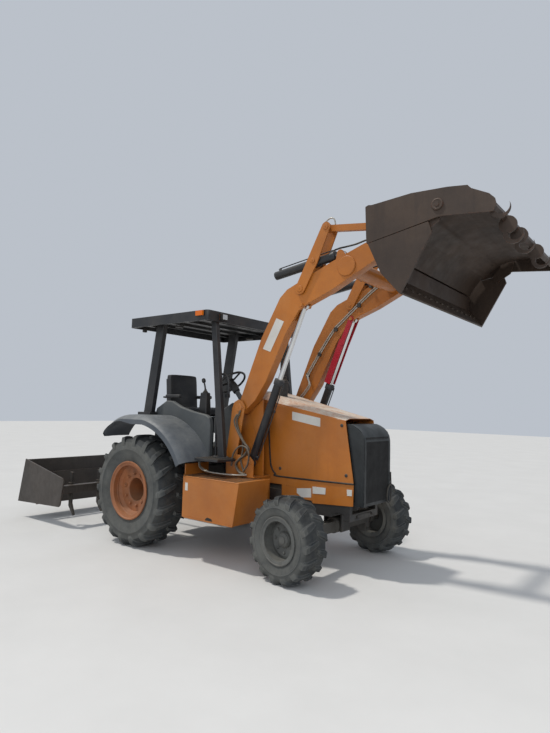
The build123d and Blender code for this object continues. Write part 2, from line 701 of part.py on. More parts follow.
# Loader arms: two bent tubes joined by a cross tube, with the rod eyes and lever pins on them
# Upper edge from foot to tip, then lower edge back to the foot
arm_outline = [(1205, 1680), (1263, 1726), (1541, 2397), (1776, 2805), (1867, 2885), (1994, 2937), (2418, 3106),
               (2778, 3231), (3110, 3316), (3150, 3204), (2856, 3035), (2392, 2811), (2124, 2710), (2020, 2647),
               (1863, 2423), (1616, 1924), (1468, 1713), (1290, 1566)]
arm_tip_radius = 58.0
arm_foot_radius = 75.0
lift_length, lift_dir = along(lift_base, lift_eye)
with BuildPart() as loader_arms:
    for side in (1, -1):
        low, high = span(side, arm_y - arm_half, arm_y + arm_half)
        plate(arm_outline, low, high)
        disc(arm_pivot, arm_foot_radius, low, high)
        disc(bucket_pin, arm_tip_radius, low, high)
        disc(arm_pivot, arm_pivot_radius + pin_gap, low, high, mode=Mode.SUBTRACT)
        disc(bucket_pin, bucket_pin_radius + pin_gap, low, high, mode=Mode.SUBTRACT)
        low, high = span(side, tower_inner_y - 5, tower_outer_y + 5)
        disc(lift_eye, lift_pin_radius, low, high)
        disc(lever_pin, lever_pin_radius, low, high)
        # The eye's pocket has room for the eye's sway between the limits, and it parts the pin
        low, high = span(side, arm_y - eye_half - eye_gap, arm_y + eye_half + eye_gap)
        mouth = (lift_eye[0] - lift_dir[0] * 140, lift_eye[1] - lift_dir[1] * 140)
        swayed = (lift_eye[0] + 66, lift_eye[1] - 60)
        hull_plate([(*lift_eye, 50), (*swayed, 50), (*mouth, 66)], low, high, mode=Mode.SUBTRACT)
        for near, stub_near in ((arm_y - eye_half - eye_gap - bracket_sheet, arm_y - eye_half - eye_gap),
                                (arm_y + eye_half + eye_gap, arm_y + eye_half + eye_gap - stub_reach)):
            low, high = span(side, near, near + bracket_sheet)
            hull_plate([(*tilt_eye, 36), (2462, 3110, 12), (2560, 3145, 12)], low, high)
            low, high = span(side, stub_near, stub_near + stub_reach)
            disc(tilt_eye, trunnion_radius, low, high)
        low, high = span(side, arm_y + arm_half, arm_y + arm_half + 8)
        disc(cross_tube, cross_tube_radius + 15, low, high)
    disc(cross_tube, cross_tube_radius, -arm_y + arm_half, arm_y - arm_half)
write(loader_arms, "loader_arms")

# Lift cylinders
with BuildPart() as lift_barrels:
    for side in (1, -1):
        rod(lift_base, lift_dir, side * arm_y, 35, lift_barrel_length, barrel_radius)
        rod(lift_base, lift_dir, side * arm_y, lift_barrel_length - 60, lift_barrel_length, barrel_radius + 7)
        low, high = span(side, arm_y - eye_half, arm_y + eye_half)
        disc(lift_base, 48, low, high)
        disc(lift_base, lift_pin_radius + pin_gap, low, high, mode=Mode.SUBTRACT)
        rod(lift_base, lift_dir, side * arm_y, 180, lift_barrel_length, lift_rod_radius + pin_gap, mode=Mode.SUBTRACT)
write(lift_barrels, "lift_barrels")

with BuildPart() as lift_rods:
    for side in (1, -1):
        rod(lift_base, lift_dir, side * arm_y, lift_rod_tail, lift_length - 12, lift_rod_radius)
        low, high = span(side, arm_y - eye_half, arm_y + eye_half)
        disc(lift_eye, 38, low, high)
        low, high = span(side, arm_y - eye_half - boss_reach, arm_y + eye_half + boss_reach)
        disc(lift_eye, lift_pin_radius, low, high)
write(lift_rods, "lift_rods")

# Lift lock strut over the left rod: a channel with two ears on the rod eye's pin line
strut_half = 61.0
strut_sheet = 6.0
strut_near = 265.0
strut_far = 815.0
with BuildPart() as lock_strut:
    down = (-lift_dir[0], -lift_dir[1])
    back = (-lift_dir[1], lift_dir[0])

    def strut_point(distance, offset):
        """A place on the strut: down the rod from its eye, and off it towards the arm."""
        return (lift_eye[0] + down[0] * distance + back[0] * offset,
                lift_eye[1] + down[1] * distance + back[1] * offset)

    for low, high in ((arm_y - strut_half, arm_y - strut_half + strut_sheet),
                      (arm_y + strut_half - strut_sheet, arm_y + strut_half)):
        plate([strut_point(strut_near, 60), strut_point(strut_far, 60), strut_point(strut_far, -22),
               strut_point(strut_near, -22)], low, high)
    plate([strut_point(strut_near, 60), strut_point(strut_far, 60), strut_point(strut_far, 54),
           strut_point(strut_near, 54)], arm_y - strut_half, arm_y + strut_half)
    for low, high in ((arm_y - strut_half - strut_sheet, arm_y - strut_half),
                      (arm_y + strut_half, arm_y + strut_half + strut_sheet)):
        start = strut_point(strut_near + 40, 10)
        hull_plate([(*lift_eye, 32), (*start, 30)], low, high)
        disc(lift_eye, lift_pin_radius, low, high, mode=Mode.SUBTRACT)
write(lock_strut, "lock_strut")

# Tilt levers: two plates on each arm with a pin across their tops
with BuildPart() as tilt_levers:
    for side in (1, -1):
        for near in (tower_inner_y, tower_outer_y - tower_plate):
            low, high = span(side, near, near + tower_plate)
            hull_plate([(*lever_pin, 58), (*trunnion, 60), (*lever_top, 50)], low, high)
            disc(lever_pin, lever_pin_radius + pin_gap, low, high, mode=Mode.SUBTRACT)
            disc(trunnion, trunnion_radius + pin_gap, low, high, mode=Mode.SUBTRACT)
        low, high = span(side, tower_inner_y, tower_outer_y)
        disc(lever_top, link_pin_radius, low, high)
write(tilt_levers, "tilt_levers")

# Tilt links from lever tops to the bucket
with BuildPart() as tilt_links:
    link_length, link_dir = along(lever_top, link_pin)
    normal = (-link_dir[1], link_dir[0])
    for side in (1, -1):
        low, high = span(side, arm_y - link_half_width, arm_y + link_half_width)
        corners = []
        for pivot, height in ((lever_top, 1), (link_pin, 1), (link_pin, -1), (lever_top, -1)):
            corners.append((pivot[0] + normal[0] * height * link_half_height,
                            pivot[1] + normal[1] * height * link_half_height))
        plate(corners, low, high)
        for pivot in (lever_top, link_pin):
            disc(pivot, 42, low, high)
        disc(lever_top, link_pin_radius + pin_gap, low, high, mode=Mode.SUBTRACT)
        low, high = span(side, arm_y - link_half_width - boss_reach, arm_y + link_half_width + boss_reach)
        disc(link_pin, link_pin_radius, low, high)
write(tilt_links, "tilt_links")

# Tilt cylinders, each barrel hung on its trunnion between the lever plates
tilt_length, tilt_dir = along(trunnion, tilt_eye)
with BuildPart() as tilt_barrels:
    for side in (1, -1):
        rod(trunnion, tilt_dir, side * arm_y, tilt_barrel_rear, tilt_barrel_front, barrel_radius)
        rod(trunnion, tilt_dir, side * arm_y, -40, 40, barrel_radius + 6)
        low, high = span(side, tower_inner_y + 2, tower_outer_y - 2)
        disc(trunnion, trunnion_radius, low, high)
        rod(trunnion, tilt_dir, side * arm_y, tilt_barrel_rear + 60, tilt_barrel_front, tilt_rod_radius + pin_gap,
            mode=Mode.SUBTRACT)
write(tilt_barrels, "tilt_barrels")

with BuildPart() as tilt_rods:
    for side in (1, -1):
        rod(trunnion, tilt_dir, side * arm_y, -120, tilt_length - 10, tilt_rod_radius)
        low, high = span(side, arm_y - eye_half, arm_y + eye_half)
        disc(tilt_eye, 34, low, high)
        low, high = span(side, arm_y - eye_half - boss_reach, arm_y + eye_half + boss_reach)
        disc(tilt_eye, trunnion_radius, low, high)
write(tilt_rods, "tilt_rods")

# Bucket back: curved moldboard, heel plate, side plates and the four ears with their pins
moldboard_foot = (318.0, -120.0)
moldboard_middle = (300.0, 300.0)
moldboard_top = (660.0, 690.0)
local_link_pin = Vector(link_pin[0] - bucket_pin[0], link_pin[1] - bucket_pin[1]).rotate(Axis.Z, -dump_angle)
local_link_pin = (local_link_pin.X, local_link_pin.Y)


def moldboard_face(high):
    """The moldboard's curved section, drawn as its front arc thickened to the rear."""
    with BuildSketch(bucket_plane(high)) as section:
        with BuildLine():
            ThreePointArc(moldboard_foot, moldboard_middle, moldboard_top)
            offset(amount=moldboard_sheet, side=Side.RIGHT)
        make_face()
    return section.sketch


bowl = Edge.make_three_point_arc(moldboard_foot, moldboard_middle, moldboard_top)


def ear_face(high):
    """One ear from the pins to the moldboard, ending inside the moldboard's sheet."""
    with BuildSketch(bucket_plane(high)) as section:
        for x, z, radius in ((0, 0, 60), (*local_link_pin, 50), (300, -98, 10), (296, 330, 6)):
            with Locations((x, z)):
                Circle(radius)
        make_hull()
        with Locations((bowl.arc_center.X, bowl.arc_center.Y)):
            Circle(bowl.radius + moldboard_sheet / 2, mode=Mode.SUBTRACT)
    return section.sketch


# Chain hooks on the top lip: each a rounded base with a hook that curls forward and up from it
hook_half = 12.0
hook_base_radius = 68.0
# Y, forward and upward shift of the hook's frame, and whether it has a base of its own
hooks = [(-1000, 674, 712, False), (-730, 785, 645, True), (-400, 785, 645, True), (150, 785, 645, True)]


def hook_face(high, forward, up):
    """The crescent of one hook, drawn about its base's centre."""
    with BuildSketch(bucket_plane(high)) as section:
        with BuildLine():
            ThreePointArc((forward + 20, up - 55), (forward + 140, up - 80), (forward + 110, up + 48))
            ThreePointArc((forward + 110, up + 48), (forward + 98, up - 66), (forward + 40, up - 35))
            Line((forward + 40, up - 35), (forward + 20, up - 55))
        make_face()
    return section.sketch


with BuildPart() as bucket_back:
    extrude(moldboard_face(moldboard_half), amount=2 * moldboard_half)
    for side in (1, -1):
        low, high = span(side, moldboard_half, bucket_half - bucket_side_plate)
        extrude(moldboard_face(high), amount=high - low)
        plate([(80, -225), (310, 153), (310, 420), (600, 420), (600, -225)], low, high, frame=bucket_plane,
              mode=Mode.SUBTRACT)
        disc(clam_hinge, clam_ear_radius + 18, low, high, frame=bucket_plane, mode=Mode.SUBTRACT)
        plate([(69, -150), (145, -118), (145, -104), (69, -136)], low, high, frame=bucket_plane)
        low, high = span(side, bucket_half - bucket_side_plate, bucket_half)
        plate([(-139, 22), (-128, 50), (-103, 69), (120, 351), (330, 560), (452, 663), (495, 663), (633, 714),
               (690, 716), (735, 690), (757, 640), (454, 368), (112, -182), (69, -150)], low, high,
              frame=bucket_plane)
        low, high = span(side, clam_ear_y - 4, bucket_half + 8)
        disc(clam_hinge, clam_hinge_radius, low, high, frame=bucket_plane)
        low, high = span(side, bucket_half, bucket_half + 8)
        disc(clam_hinge, 48, low, high, frame=bucket_plane)
        inner_ear = tower_inner_y - 2
        outer_ear = tower_outer_y - tower_plate - 3
        for near in (inner_ear, outer_ear):
            low, high = span(side, near, near + ear_sheet)
            extrude(ear_face(high), amount=ear_sheet)
        low, high = span(side, inner_ear, outer_ear + ear_sheet)
        disc((0, 0), bucket_pin_radius, low, high, frame=bucket_plane)
        # The link's pin is left open between its bosses, where the link sways between the limits
        for near, far in ((inner_ear, arm_y - link_half_width - eye_gap),
                          (arm_y + link_half_width + eye_gap, outer_ear + ear_sheet)):
            low, high = span(side, near, far)
            disc(local_link_pin, link_pin_radius + 12, low, high, frame=bucket_plane)
    plate([(69, -150), (150, -118), (318, -120), (318, -108), (148, -104), (69, -136)], -moldboard_half,
          moldboard_half, frame=bucket_plane)
    plate([(652, 680), (656, 704), (740, 682), (752, 644), (738, 640), (722, 668)], -bucket_half + bucket_side_plate,
          bucket_half - bucket_side_plate, frame=bucket_plane)
    for y, forward, up, has_base in hooks:
        extrude(hook_face(y + hook_half, forward, up), amount=2 * hook_half)
        if has_base:
            disc((forward, up), hook_base_radius, y - hook_half, y + hook_half, frame=bucket_plane)
write(bucket_back, "bucket_back")

# Clam: floor wedge, side plates and the ears that hang it on the hinge pins
with BuildPart() as clam:
    plate([(140, -181), (199, -200), (408, -264), (666, -264), (662, -248), (432, -238), (338, -130), (176, -130)],
          -clam_inner_y, clam_inner_y, frame=bucket_plane)
    for side in (1, -1):
        low, high = span(side, clam_inner_y, bucket_half)
        plate([(122, -176), (410, 282), (428, 276), (496, 246), (666, -264), (408, -264), (199, -200)], low, high,
              frame=bucket_plane)
        low, high = span(side, clam_ear_y, clam_inner_y)
        hull_plate([(*clam_hinge, clam_ear_radius), (350, 200, 6), (452, 340, 10), (420, 180, 10)], low, high, frame=bucket_plane)
        disc(clam_hinge, clam_hinge_radius + pin_gap, low, high, frame=bucket_plane, mode=Mode.SUBTRACT)
write(clam, "clam")

# Rear hitch: lower links, top link, scraper box and its shanks
lower_length, lower_dir = along(lower_link_front, lower_link_rear)
top_link_rear = (top_link_front[0] + lower_link_rear[0] - lower_link_front[0],
                 top_link_front[1] + lower_link_rear[1] - lower_link_front[1])


def link_bar(front, rear, centre_y, half_width, bar_radius):
    """A flat bar between two pins along Y."""
    hull_plate([(*front, bar_radius), (*rear, bar_radius)], centre_y - half_width, centre_y + half_width)
    for pivot in (front, rear):
        disc(pivot, hitch_pin_radius + pin_gap, centre_y - half_width, centre_y + half_width, mode=Mode.SUBTRACT)


with BuildPart() as lower_links:
    for side in (1, -1):
        link_bar(lower_link_front, lower_link_rear, side * lower_link_y, 15, 32)
write(lower_links, "lower_links")

with BuildPart() as top_link:
    link_bar(top_link_front, top_link_rear, 0, 15, 26)
write(top_link, "top_link")

toolbar_front_x = -1350.0
toolbar_rear_x = -1450.0
toolbar_bottom_z = 440.0
toolbar_top_z = 540.0
with BuildPart() as scraper_box:
    for side in (1, -1):
        low, high = span(side, scraper_half - scraper_plate, scraper_half)
        plate([(-2335, 822), (-1369, 640), (-1340, 600), (-1400, 290), (-1430, 263), (-2486, 216)], low, high)
        for near in (lower_link_y - 35, lower_link_y + 20):
            low, high = span(side, near, near + 15)
            hull_plate([(*lower_link_rear, 36), (-1370, 460, 18), (-1370, 522, 18)], low, high)
        low, high = span(side, lower_link_y - 34, lower_link_y + 34)
        disc(lower_link_rear, hitch_pin_radius, low, high)
        low, high = span(side, 20, 35)
        plate([(-1358, toolbar_top_z - 20), (-1442, toolbar_top_z - 20), (-1500, 870), (-1440, 885)], low, high)
    disc(top_link_rear, hitch_pin_radius, -34, 34)
    inner = scraper_half - scraper_plate
    block(toolbar_rear_x, toolbar_front_x, -inner, inner, toolbar_bottom_z, toolbar_top_z)
    plate([(-2332, 815), (-2318, 812), (-2270, 520), (-2330, 360), (-2440, 222), (-2456, 222), (-2346, 362),
           (-2288, 520)], -inner, inner)
    plate([(-2150, 640), (-2136, 640), (-2090, 420), (-2010, 222), (-2026, 222), (-2106, 420)], -inner, inner)
write(scraper_box, "scraper_box")

shank_count = 5
shank_pitch = 430.0
with BuildPart() as scraper_shanks:
    for index in range(shank_count):
        y = (index - (shank_count - 1) / 2) * shank_pitch
        plate([(toolbar_rear_x, 700), (toolbar_rear_x - 60, 700), (toolbar_rear_x - 60, 250), (-1400, 130),
               (-1380, 140), (toolbar_rear_x, 290)], y - 14, y + 14)
write(scraper_shanks, "scraper_shanks")
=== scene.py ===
"""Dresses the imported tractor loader: finishes, treads, pads, hoses, lines and small fittings."""
import json
from math import cos, hypot, pi, radians, sin

import bmesh
import bpy
from mathutils import Matrix, Vector


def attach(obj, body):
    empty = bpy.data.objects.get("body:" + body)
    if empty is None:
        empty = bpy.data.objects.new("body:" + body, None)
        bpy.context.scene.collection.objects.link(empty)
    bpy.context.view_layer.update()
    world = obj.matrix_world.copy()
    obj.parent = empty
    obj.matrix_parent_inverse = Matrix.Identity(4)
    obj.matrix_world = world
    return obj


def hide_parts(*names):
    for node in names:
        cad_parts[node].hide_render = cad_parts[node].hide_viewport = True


# Places are given in millimetres from the rear axle line, which stands here from the row's origin.
REAR_AXLE_X = -883.0
BUCKET_PIN = (3130.0, 3260.0)
BUCKET_TURN = radians(-48.0)

LEFT = Vector((0, 1, 0))
SKY = Vector((0, 0, 1))
SIGNS = (1, -1)
SIDES = ((1, "left"), (-1, "right"))

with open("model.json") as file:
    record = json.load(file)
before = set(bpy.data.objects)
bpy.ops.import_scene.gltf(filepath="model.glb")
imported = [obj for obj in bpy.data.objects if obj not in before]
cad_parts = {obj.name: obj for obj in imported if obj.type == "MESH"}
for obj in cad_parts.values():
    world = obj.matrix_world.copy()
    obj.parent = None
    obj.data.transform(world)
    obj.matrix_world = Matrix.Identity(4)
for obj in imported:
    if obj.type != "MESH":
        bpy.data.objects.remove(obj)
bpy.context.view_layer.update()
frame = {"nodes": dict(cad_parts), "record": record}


def at(x, y, z):
    """A place from the rear axle line, as metres in the row's frame."""
    return Vector(((REAR_AXLE_X + x) / 1000, y / 1000, z / 1000))


def in_bucket(u, y, v):
    """A place in the bucket's own level frame."""
    c, s = cos(BUCKET_TURN), sin(BUCKET_TURN)
    return at(BUCKET_PIN[0] + u * c - v * s, y, BUCKET_PIN[1] + u * s + v * c)


# Camera, solved from the photograph: place in metres, angles in radians
CAMERA_AT = Vector((5.29889 + REAR_AXLE_X / 1000, -5.08876, 1.64106))
YAW, PITCH, ROLL = 0.666428, 0.0753454, 0.0266014
FOCAL_PIXELS, PHOTO_WIDTH = 546.753, 550.0
SENSOR_WIDTH = 36.0
CLIP_END = 200

forward = Vector((-sin(YAW) * cos(PITCH), cos(YAW) * cos(PITCH), sin(PITCH)))
level_right = forward.cross(SKY).normalized()
level_up = level_right.cross(forward)
right = level_right * cos(ROLL) + level_up * sin(ROLL)
up = level_up * cos(ROLL) - level_right * sin(ROLL)
camera_data = bpy.data.cameras.new("camera")
camera_data.sensor_fit = "HORIZONTAL"
camera_data.sensor_width = SENSOR_WIDTH
camera_data.lens = SENSOR_WIDTH * FOCAL_PIXELS / PHOTO_WIDTH
camera_data.clip_end = CLIP_END
camera = bpy.data.objects.new("camera", camera_data)
turn = Matrix((right, up, -forward)).transposed().to_4x4()
camera.matrix_world = Matrix.Translation(CAMERA_AT) @ turn
bpy.context.scene.collection.objects.link(camera)
bpy.context.scene.camera = camera
bpy.context.scene.view_settings.view_transform = "Standard"


class Nodes:
    """Short calls that add and join a material's shader nodes."""

    def __init__(self, tree):
        self.tree = tree
        self.shader = tree.nodes["Principled BSDF"]
        self.coords = self.add("TexCoord").outputs

    def put(self, value, socket):
        if hasattr(value, "node"):
            self.tree.links.new(value, socket)
        elif value is not None:
            socket.default_value = value

    def add(self, kind, **inputs):
        """A node with its inputs set or joined. An underscore stands for a space in an input's name."""
        node = self.tree.nodes.new("ShaderNode" + kind)
        for name, value in inputs.items():
            self.put(value, node.inputs[name.replace("_", " ")])
        return node

    def noise(self, scale, detail=4.0, rough=0.6, stretch=None):
        vector = self.coords["Object"]
        if stretch:
            vector = self.add("Mapping", Vector=vector, Scale=stretch).outputs["Vector"]
        return self.add("TexNoise", Vector=vector, Scale=scale, Detail=detail, Roughness=rough).outputs["Fac"]

    def ramp(self, value, low, high, to_low=0.0, to_high=1.0):
        node = self.add("MapRange", Value=value, From_Min=low, From_Max=high, To_Min=to_low, To_Max=to_high)
        return node.outputs["Result"]

    def math(self, operation, a, b=None, clamp=False):
        node = self.add("Math")
        node.operation = operation
        node.use_clamp = clamp
        self.put(a, node.inputs[0])
        self.put(b, node.inputs[1])
        return node.outputs[0]

    def times(self, a, b, clamp=False):
        return self.math("MULTIPLY", a, b, clamp)

    def mix(self, share, a, b):
        node = self.add("Mix")
        node.data_type = "RGBA"
        self.put(share, node.inputs[0])
        self.put(a, node.inputs[6])
        self.put(b, node.inputs[7])
        return node.outputs[2]

    def normal_part(self, axis):
        """One part of the surface's direction in the piece's own frame. Z is 1 on what faces up."""
        return self.add("SeparateXYZ", Vector=self.coords["Normal"]).outputs[axis]

    def edges(self, radius):
        """1 near sharp edges, from the difference between the rounded and the true normal."""
        soft = self.add("Bevel", Radius=radius)
        soft.samples = 4
        dot = self.add("VectorMath")
        dot.operation = "DOT_PRODUCT"
        self.put(soft.outputs[0], dot.inputs[0])
        self.put(self.add("NewGeometry").outputs["Normal"], dot.inputs[1])
        return self.ramp(dot.outputs["Value"], 0.995, 0.86)

    def bump(self, height, strength, distance):
        return self.add("Bump", Height=height, Strength=strength, Distance=distance).outputs["Normal"]

    def surface(self, colour, roughness, normal=None):
        self.put(colour, self.shader.inputs["Base Color"])
        self.put(roughness, self.shader.inputs["Roughness"])
        self.put(normal, self.shader.inputs["Normal"])


def new_material(name):
    """A material and its nodes."""
    material = bpy.data.materials.new(name)
    material.use_nodes = True
    return material, Nodes(material.node_tree)


def rgb(red, green, blue):
    """A linear colour from 0 to 255 display values."""
    return tuple((c / 255) ** 2.2 for c in (red, green, blue)) + (1.0,)


DUST = (176, 163, 142)
RUST = (112, 66, 38)


def worn(name, base, stain, dust=DUST, dust_share=0.3, edge=None, edge_share=0.0, rough=0.55, metal=0.0,
         blotch=1.3, grain=0.0006, streak=0.0):
    """A used surface: stained colour, dust on what faces up, worn edges and a fine uneven skin."""
    material, n = new_material(name)
    base, stain, dust = rgb(*base), rgb(*stain), rgb(*dust)
    cloud = n.ramp(n.noise(blotch, 6.0), 0.42, 0.66)
    fine = n.noise(38.0, 5.0, 0.7)
    colour = n.mix(n.times(cloud, 0.75), base, stain)
    colour = n.mix(n.ramp(fine, 0.35, 0.8, 0.0, 0.22), colour, stain)
    if streak:
        runs = n.ramp(n.noise(1.0, 5.0, 0.65, (14.0, 14.0, 0.9)), 0.52, 0.72)
        colour = n.mix(n.times(runs, streak), colour, stain)
    settled = n.times(n.ramp(n.normal_part("Z"), -0.1, 0.95), n.ramp(n.noise(5.0, 8.0, 0.7), 0.25, 0.7))
    thin = n.ramp(n.noise(2.2, 8.0, 0.75), 0.45, 0.8, 0.0, 0.5)
    dusted = n.times(n.math("ADD", settled, thin, True), dust_share, True)
    colour = n.mix(dusted, colour, dust)
    roughness = n.ramp(n.noise(9.0, 4.0), 0.3, 0.7, rough - 0.09, rough + 0.13)
    if edge:
        chips = n.times(n.edges(0.006), n.ramp(n.noise(26.0, 6.0, 0.75), 0.48, 0.6))
        spots = n.ramp(n.noise(15.0, 9.0, 0.8), 0.69, 0.73)
        bare = n.times(n.math("ADD", chips, n.times(spots, 0.6), True), edge_share, True)
        colour = n.mix(bare, colour, rgb(*edge))
    skin = n.math("ADD", n.noise(60.0, 6.0, 0.7), n.noise(11.0, 3.0))
    n.surface(colour, roughness, n.bump(skin, 0.35, grain))
    n.shader.inputs["Metallic"].default_value = metal
    return material


# Colours are display values from 0 to 255.
FINISHES = {
    "orange_paint": dict(
        base=(178, 106, 38), stain=(148, 86, 34), dust=(172, 140, 100), dust_share=0.34, edge=(80, 56, 40),
        edge_share=0.8, rough=0.42, streak=0.3),
    "bucket_steel": dict(
        base=(70, 57, 48), stain=(47, 39, 35), dust=(96, 82, 70), edge=(116, 68, 42), edge_share=0.8,
        rough=0.58, metal=0.25, blotch=1.8, grain=0.0018, streak=0.6),
    "cut_steel": dict(
        base=(86, 76, 68), stain=(66, 58, 50), dust=(112, 100, 88), dust_share=0.35, edge=(132, 124, 116),
        edge_share=0.6, rough=0.5, metal=0.5, blotch=2.6, grain=0.0010, streak=0.3),
    "dark_steel": dict(
        base=(52, 52, 53), stain=(38, 37, 37), dust_share=0.32, edge=RUST, edge_share=0.45, metal=0.2),
    "black_paint": dict(
        base=(38, 40, 44), stain=(28, 29, 32), dust_share=0.16, edge=(92, 88, 84), edge_share=0.4,
        rough=0.42),
    "chrome_rod": dict(
        base=(214, 215, 216), stain=(186, 186, 184), dust_share=0.10, rough=0.18, metal=1.0, blotch=3.0,
        grain=0.0001),
    "axle_grey": dict(
        base=(84, 82, 78), stain=(62, 59, 55), dust=(126, 118, 106), dust_share=0.5, edge=RUST,
        edge_share=0.4, rough=0.7, metal=0.15, blotch=2.4, grain=0.0012),
    "rim_orange": dict(
        base=(154, 94, 56), stain=(112, 70, 48), dust=(164, 130, 100), dust_share=0.5, edge=(76, 52, 40),
        edge_share=0.9, rough=0.6, metal=0.05, blotch=5.0, grain=0.0012),
    "rim_grey": dict(
        base=(90, 92, 90), stain=(66, 66, 64), dust=(136, 132, 124), dust_share=0.5, edge=(74, 60, 50),
        edge_share=0.6, rough=0.62, metal=0.1, blotch=6.0, grain=0.0012),
    # console_plastic: the consoles' grey plastic, made darker to stand for the canopy's shadow on them, so
    # partly painted shade.
    "console_plastic": dict(
        base=(80, 84, 86), stain=(64, 68, 71), dust=(136, 132, 124), dust_share=0.4, rough=0.66),
    "fender_plastic": dict(
        base=(76, 82, 89), stain=(58, 64, 71), dust=(150, 150, 146), dust_share=0.5, edge=(128, 130, 130),
        edge_share=0.4, rough=0.5),
    "wheel_plastic": dict(base=(32, 32, 34), stain=(24, 24, 26), dust_share=0.15, rough=0.36),
    "strut_red": dict(
        base=(176, 22, 44), stain=(138, 16, 36), dust=(186, 120, 110), dust_share=0.25, edge=(90, 40, 36),
        edge_share=0.6, rough=0.32),
    "scraper_paint": dict(
        base=(56, 55, 54), stain=(42, 40, 38), dust=(140, 128, 112), dust_share=0.5, edge=RUST,
        edge_share=0.7, rough=0.6, metal=0.2, blotch=1.6, grain=0.0014),
    "scraper_side": dict(
        base=(70, 64, 60), stain=(48, 44, 41), dust=(112, 102, 90), dust_share=0.36, edge=RUST,
        edge_share=0.8, rough=0.42, metal=0.3, blotch=1.2, grain=0.0014, streak=0.5),
    "hose_rubber": dict(
        base=(38, 38, 38), stain=(28, 28, 28), dust_share=0.45, rough=0.7, blotch=9.0, grain=0.0005),
    "hose_dusty": dict(
        base=(84, 74, 64), stain=(58, 52, 46), dust_share=0.4, rough=0.75, blotch=9.0, grain=0.0005),
    "guard_steel": dict(
        base=(40, 43, 45), stain=(28, 30, 31), dust=(112, 118, 118), dust_share=0.26, edge=(126, 130, 128),
        edge_share=0.5, rough=0.5, metal=0.2, blotch=3.0, grain=0.0016),
    "screen_steel": dict(
        base=(25, 25, 26), stain=(19, 19, 19), dust=(66, 60, 54), dust_share=0.15, rough=0.6),
    "zinc_tube": dict(
        base=(188, 186, 178), stain=(150, 142, 128), dust_share=0.2, rough=0.36, metal=0.6, blotch=7.0,
        grain=0.0003),
    "label_white": dict(base=(206, 204, 198), stain=(180, 176, 168), rough=0.6),
    "seal_black": dict(base=(26, 26, 27), stain=(20, 20, 20), dust_share=0.2, rough=0.75),
}
MATERIALS = {name: worn(name, **terms) for name, terms in FINISHES.items()}


def tyre_material():
    """Dusty rubber: grey dust on the walls and between the lugs, darker on the worn lug faces."""
    material, n = new_material("tyre_rubber")
    colour = n.mix(n.ramp(n.noise(3.0, 6.0), 0.35, 0.65), rgb(46, 50, 53), rgb(33, 36, 39))
    dust = n.times(n.ramp(n.noise(7.0, 9.0, 0.75), 0.4, 0.72), 0.32)
    colour = n.mix(dust, colour, rgb(120, 118, 110))
    colour = n.mix(n.times(n.edges(0.02), 0.3), colour, rgb(120, 122, 120))
    wall = n.ramp(n.math("ABSOLUTE", n.normal_part("Y")), 0.72, 0.98)
    walls = n.times(wall, n.ramp(n.noise(5.0, 8.0, 0.7), 0.3, 0.7, 0.10, 0.42))
    colour = n.mix(walls, colour, rgb(126, 126, 120))
    height = n.math("ADD", n.noise(45.0, 8.0, 0.75), n.times(n.noise(9.0, 3.0), 2.0))
    n.surface(colour, n.ramp(n.noise(14.0), 0.3, 0.7, 0.72, 0.92), n.bump(height, 0.5, 0.0022))
    return material


def seat_material():
    """Black vinyl with a fine grain and dust in its folds."""
    material, n = new_material("seat_cover")
    grain = n.add("TexVoronoi", Vector=n.coords["Object"], Scale=420.0).outputs["Distance"]
    colour = n.mix(n.ramp(n.noise(6.0, 7.0), 0.4, 0.75, 0.0, 0.5), rgb(40, 41, 44), rgb(82, 80, 76))
    n.surface(colour, 0.55, n.bump(grain, 0.3, 0.0006))
    return material


def lens_material(name, colour, deep):
    """A ribbed lamp lens."""
    material, n = new_material(name)
    wave = n.add("TexWave", Vector=n.coords["Object"], Scale=60.0)
    wave.bands_direction = "Y"
    ribs = wave.outputs["Fac"]
    n.surface(n.mix(ribs, colour, deep), 0.22, n.bump(ribs, 0.4, 0.001))
    return material


def hood_material():
    """Orange paint that a thick pale dust covers from the crown down."""
    material, n = new_material("hood_paint")
    paint = n.mix(n.ramp(n.noise(2.5, 6.0), 0.4, 0.7), rgb(182, 108, 42), rgb(160, 96, 46))
    patches = n.ramp(n.noise(7.0, 10.0, 0.8), 0.38, 0.62, -0.55, 0.2)
    cover = n.math("ADD", n.ramp(n.normal_part("Z"), 0.25, 0.9), patches, True)
    colour = n.mix(n.times(cover, 0.92), paint, rgb(208, 200, 186))
    flakes = n.ramp(n.noise(34.0, 9.0, 0.85), 0.58, 0.66)
    colour = n.mix(n.times(flakes, 0.5), colour, rgb(132, 108, 88))
    rough = n.ramp(n.noise(12.0), 0.3, 0.7, 0.5, 0.75)
    n.surface(colour, rough, n.bump(n.noise(50.0, 8.0, 0.8), 0.3, 0.0008))
    return material


MATERIALS["tyre_rubber"] = tyre_material()
MATERIALS["seat_cover"] = seat_material()
MATERIALS["amber_lens"] = lens_material("amber_lens", rgb(232, 132, 30), rgb(196, 84, 12))
MATERIALS["clear_lens"] = lens_material("clear_lens", rgb(206, 210, 212), rgb(150, 156, 160))
MATERIALS["hood_paint"] = hood_material()

# The node's own finish where it differs from its slot's
NODE_FINISH = {"hood_top": "hood_paint", "scraper_box": "scraper_side", "lamps": "amber_lens",
               "front_guard": "guard_steel"}
record_slot = {row["node"]: row["material_slot"] for row in frame["record"]["subparts"]}
for name, node in frame["nodes"].items():
    finish = NODE_FINISH.get(name, record_slot[name])
    node.data.materials.clear()
    node.data.materials.append(MATERIALS[finish])


def rounded(obj, width, segments=2, angle=28):
    """Rounds an object's edges that turn by more than the angle. The width is in millimetres."""
    bevel = obj.modifiers.new("edges", "BEVEL")
    bevel.width = width / 1000
    bevel.segments = segments
    bevel.limit_method = "ANGLE"
    bevel.angle_limit = radians(angle)
    return obj


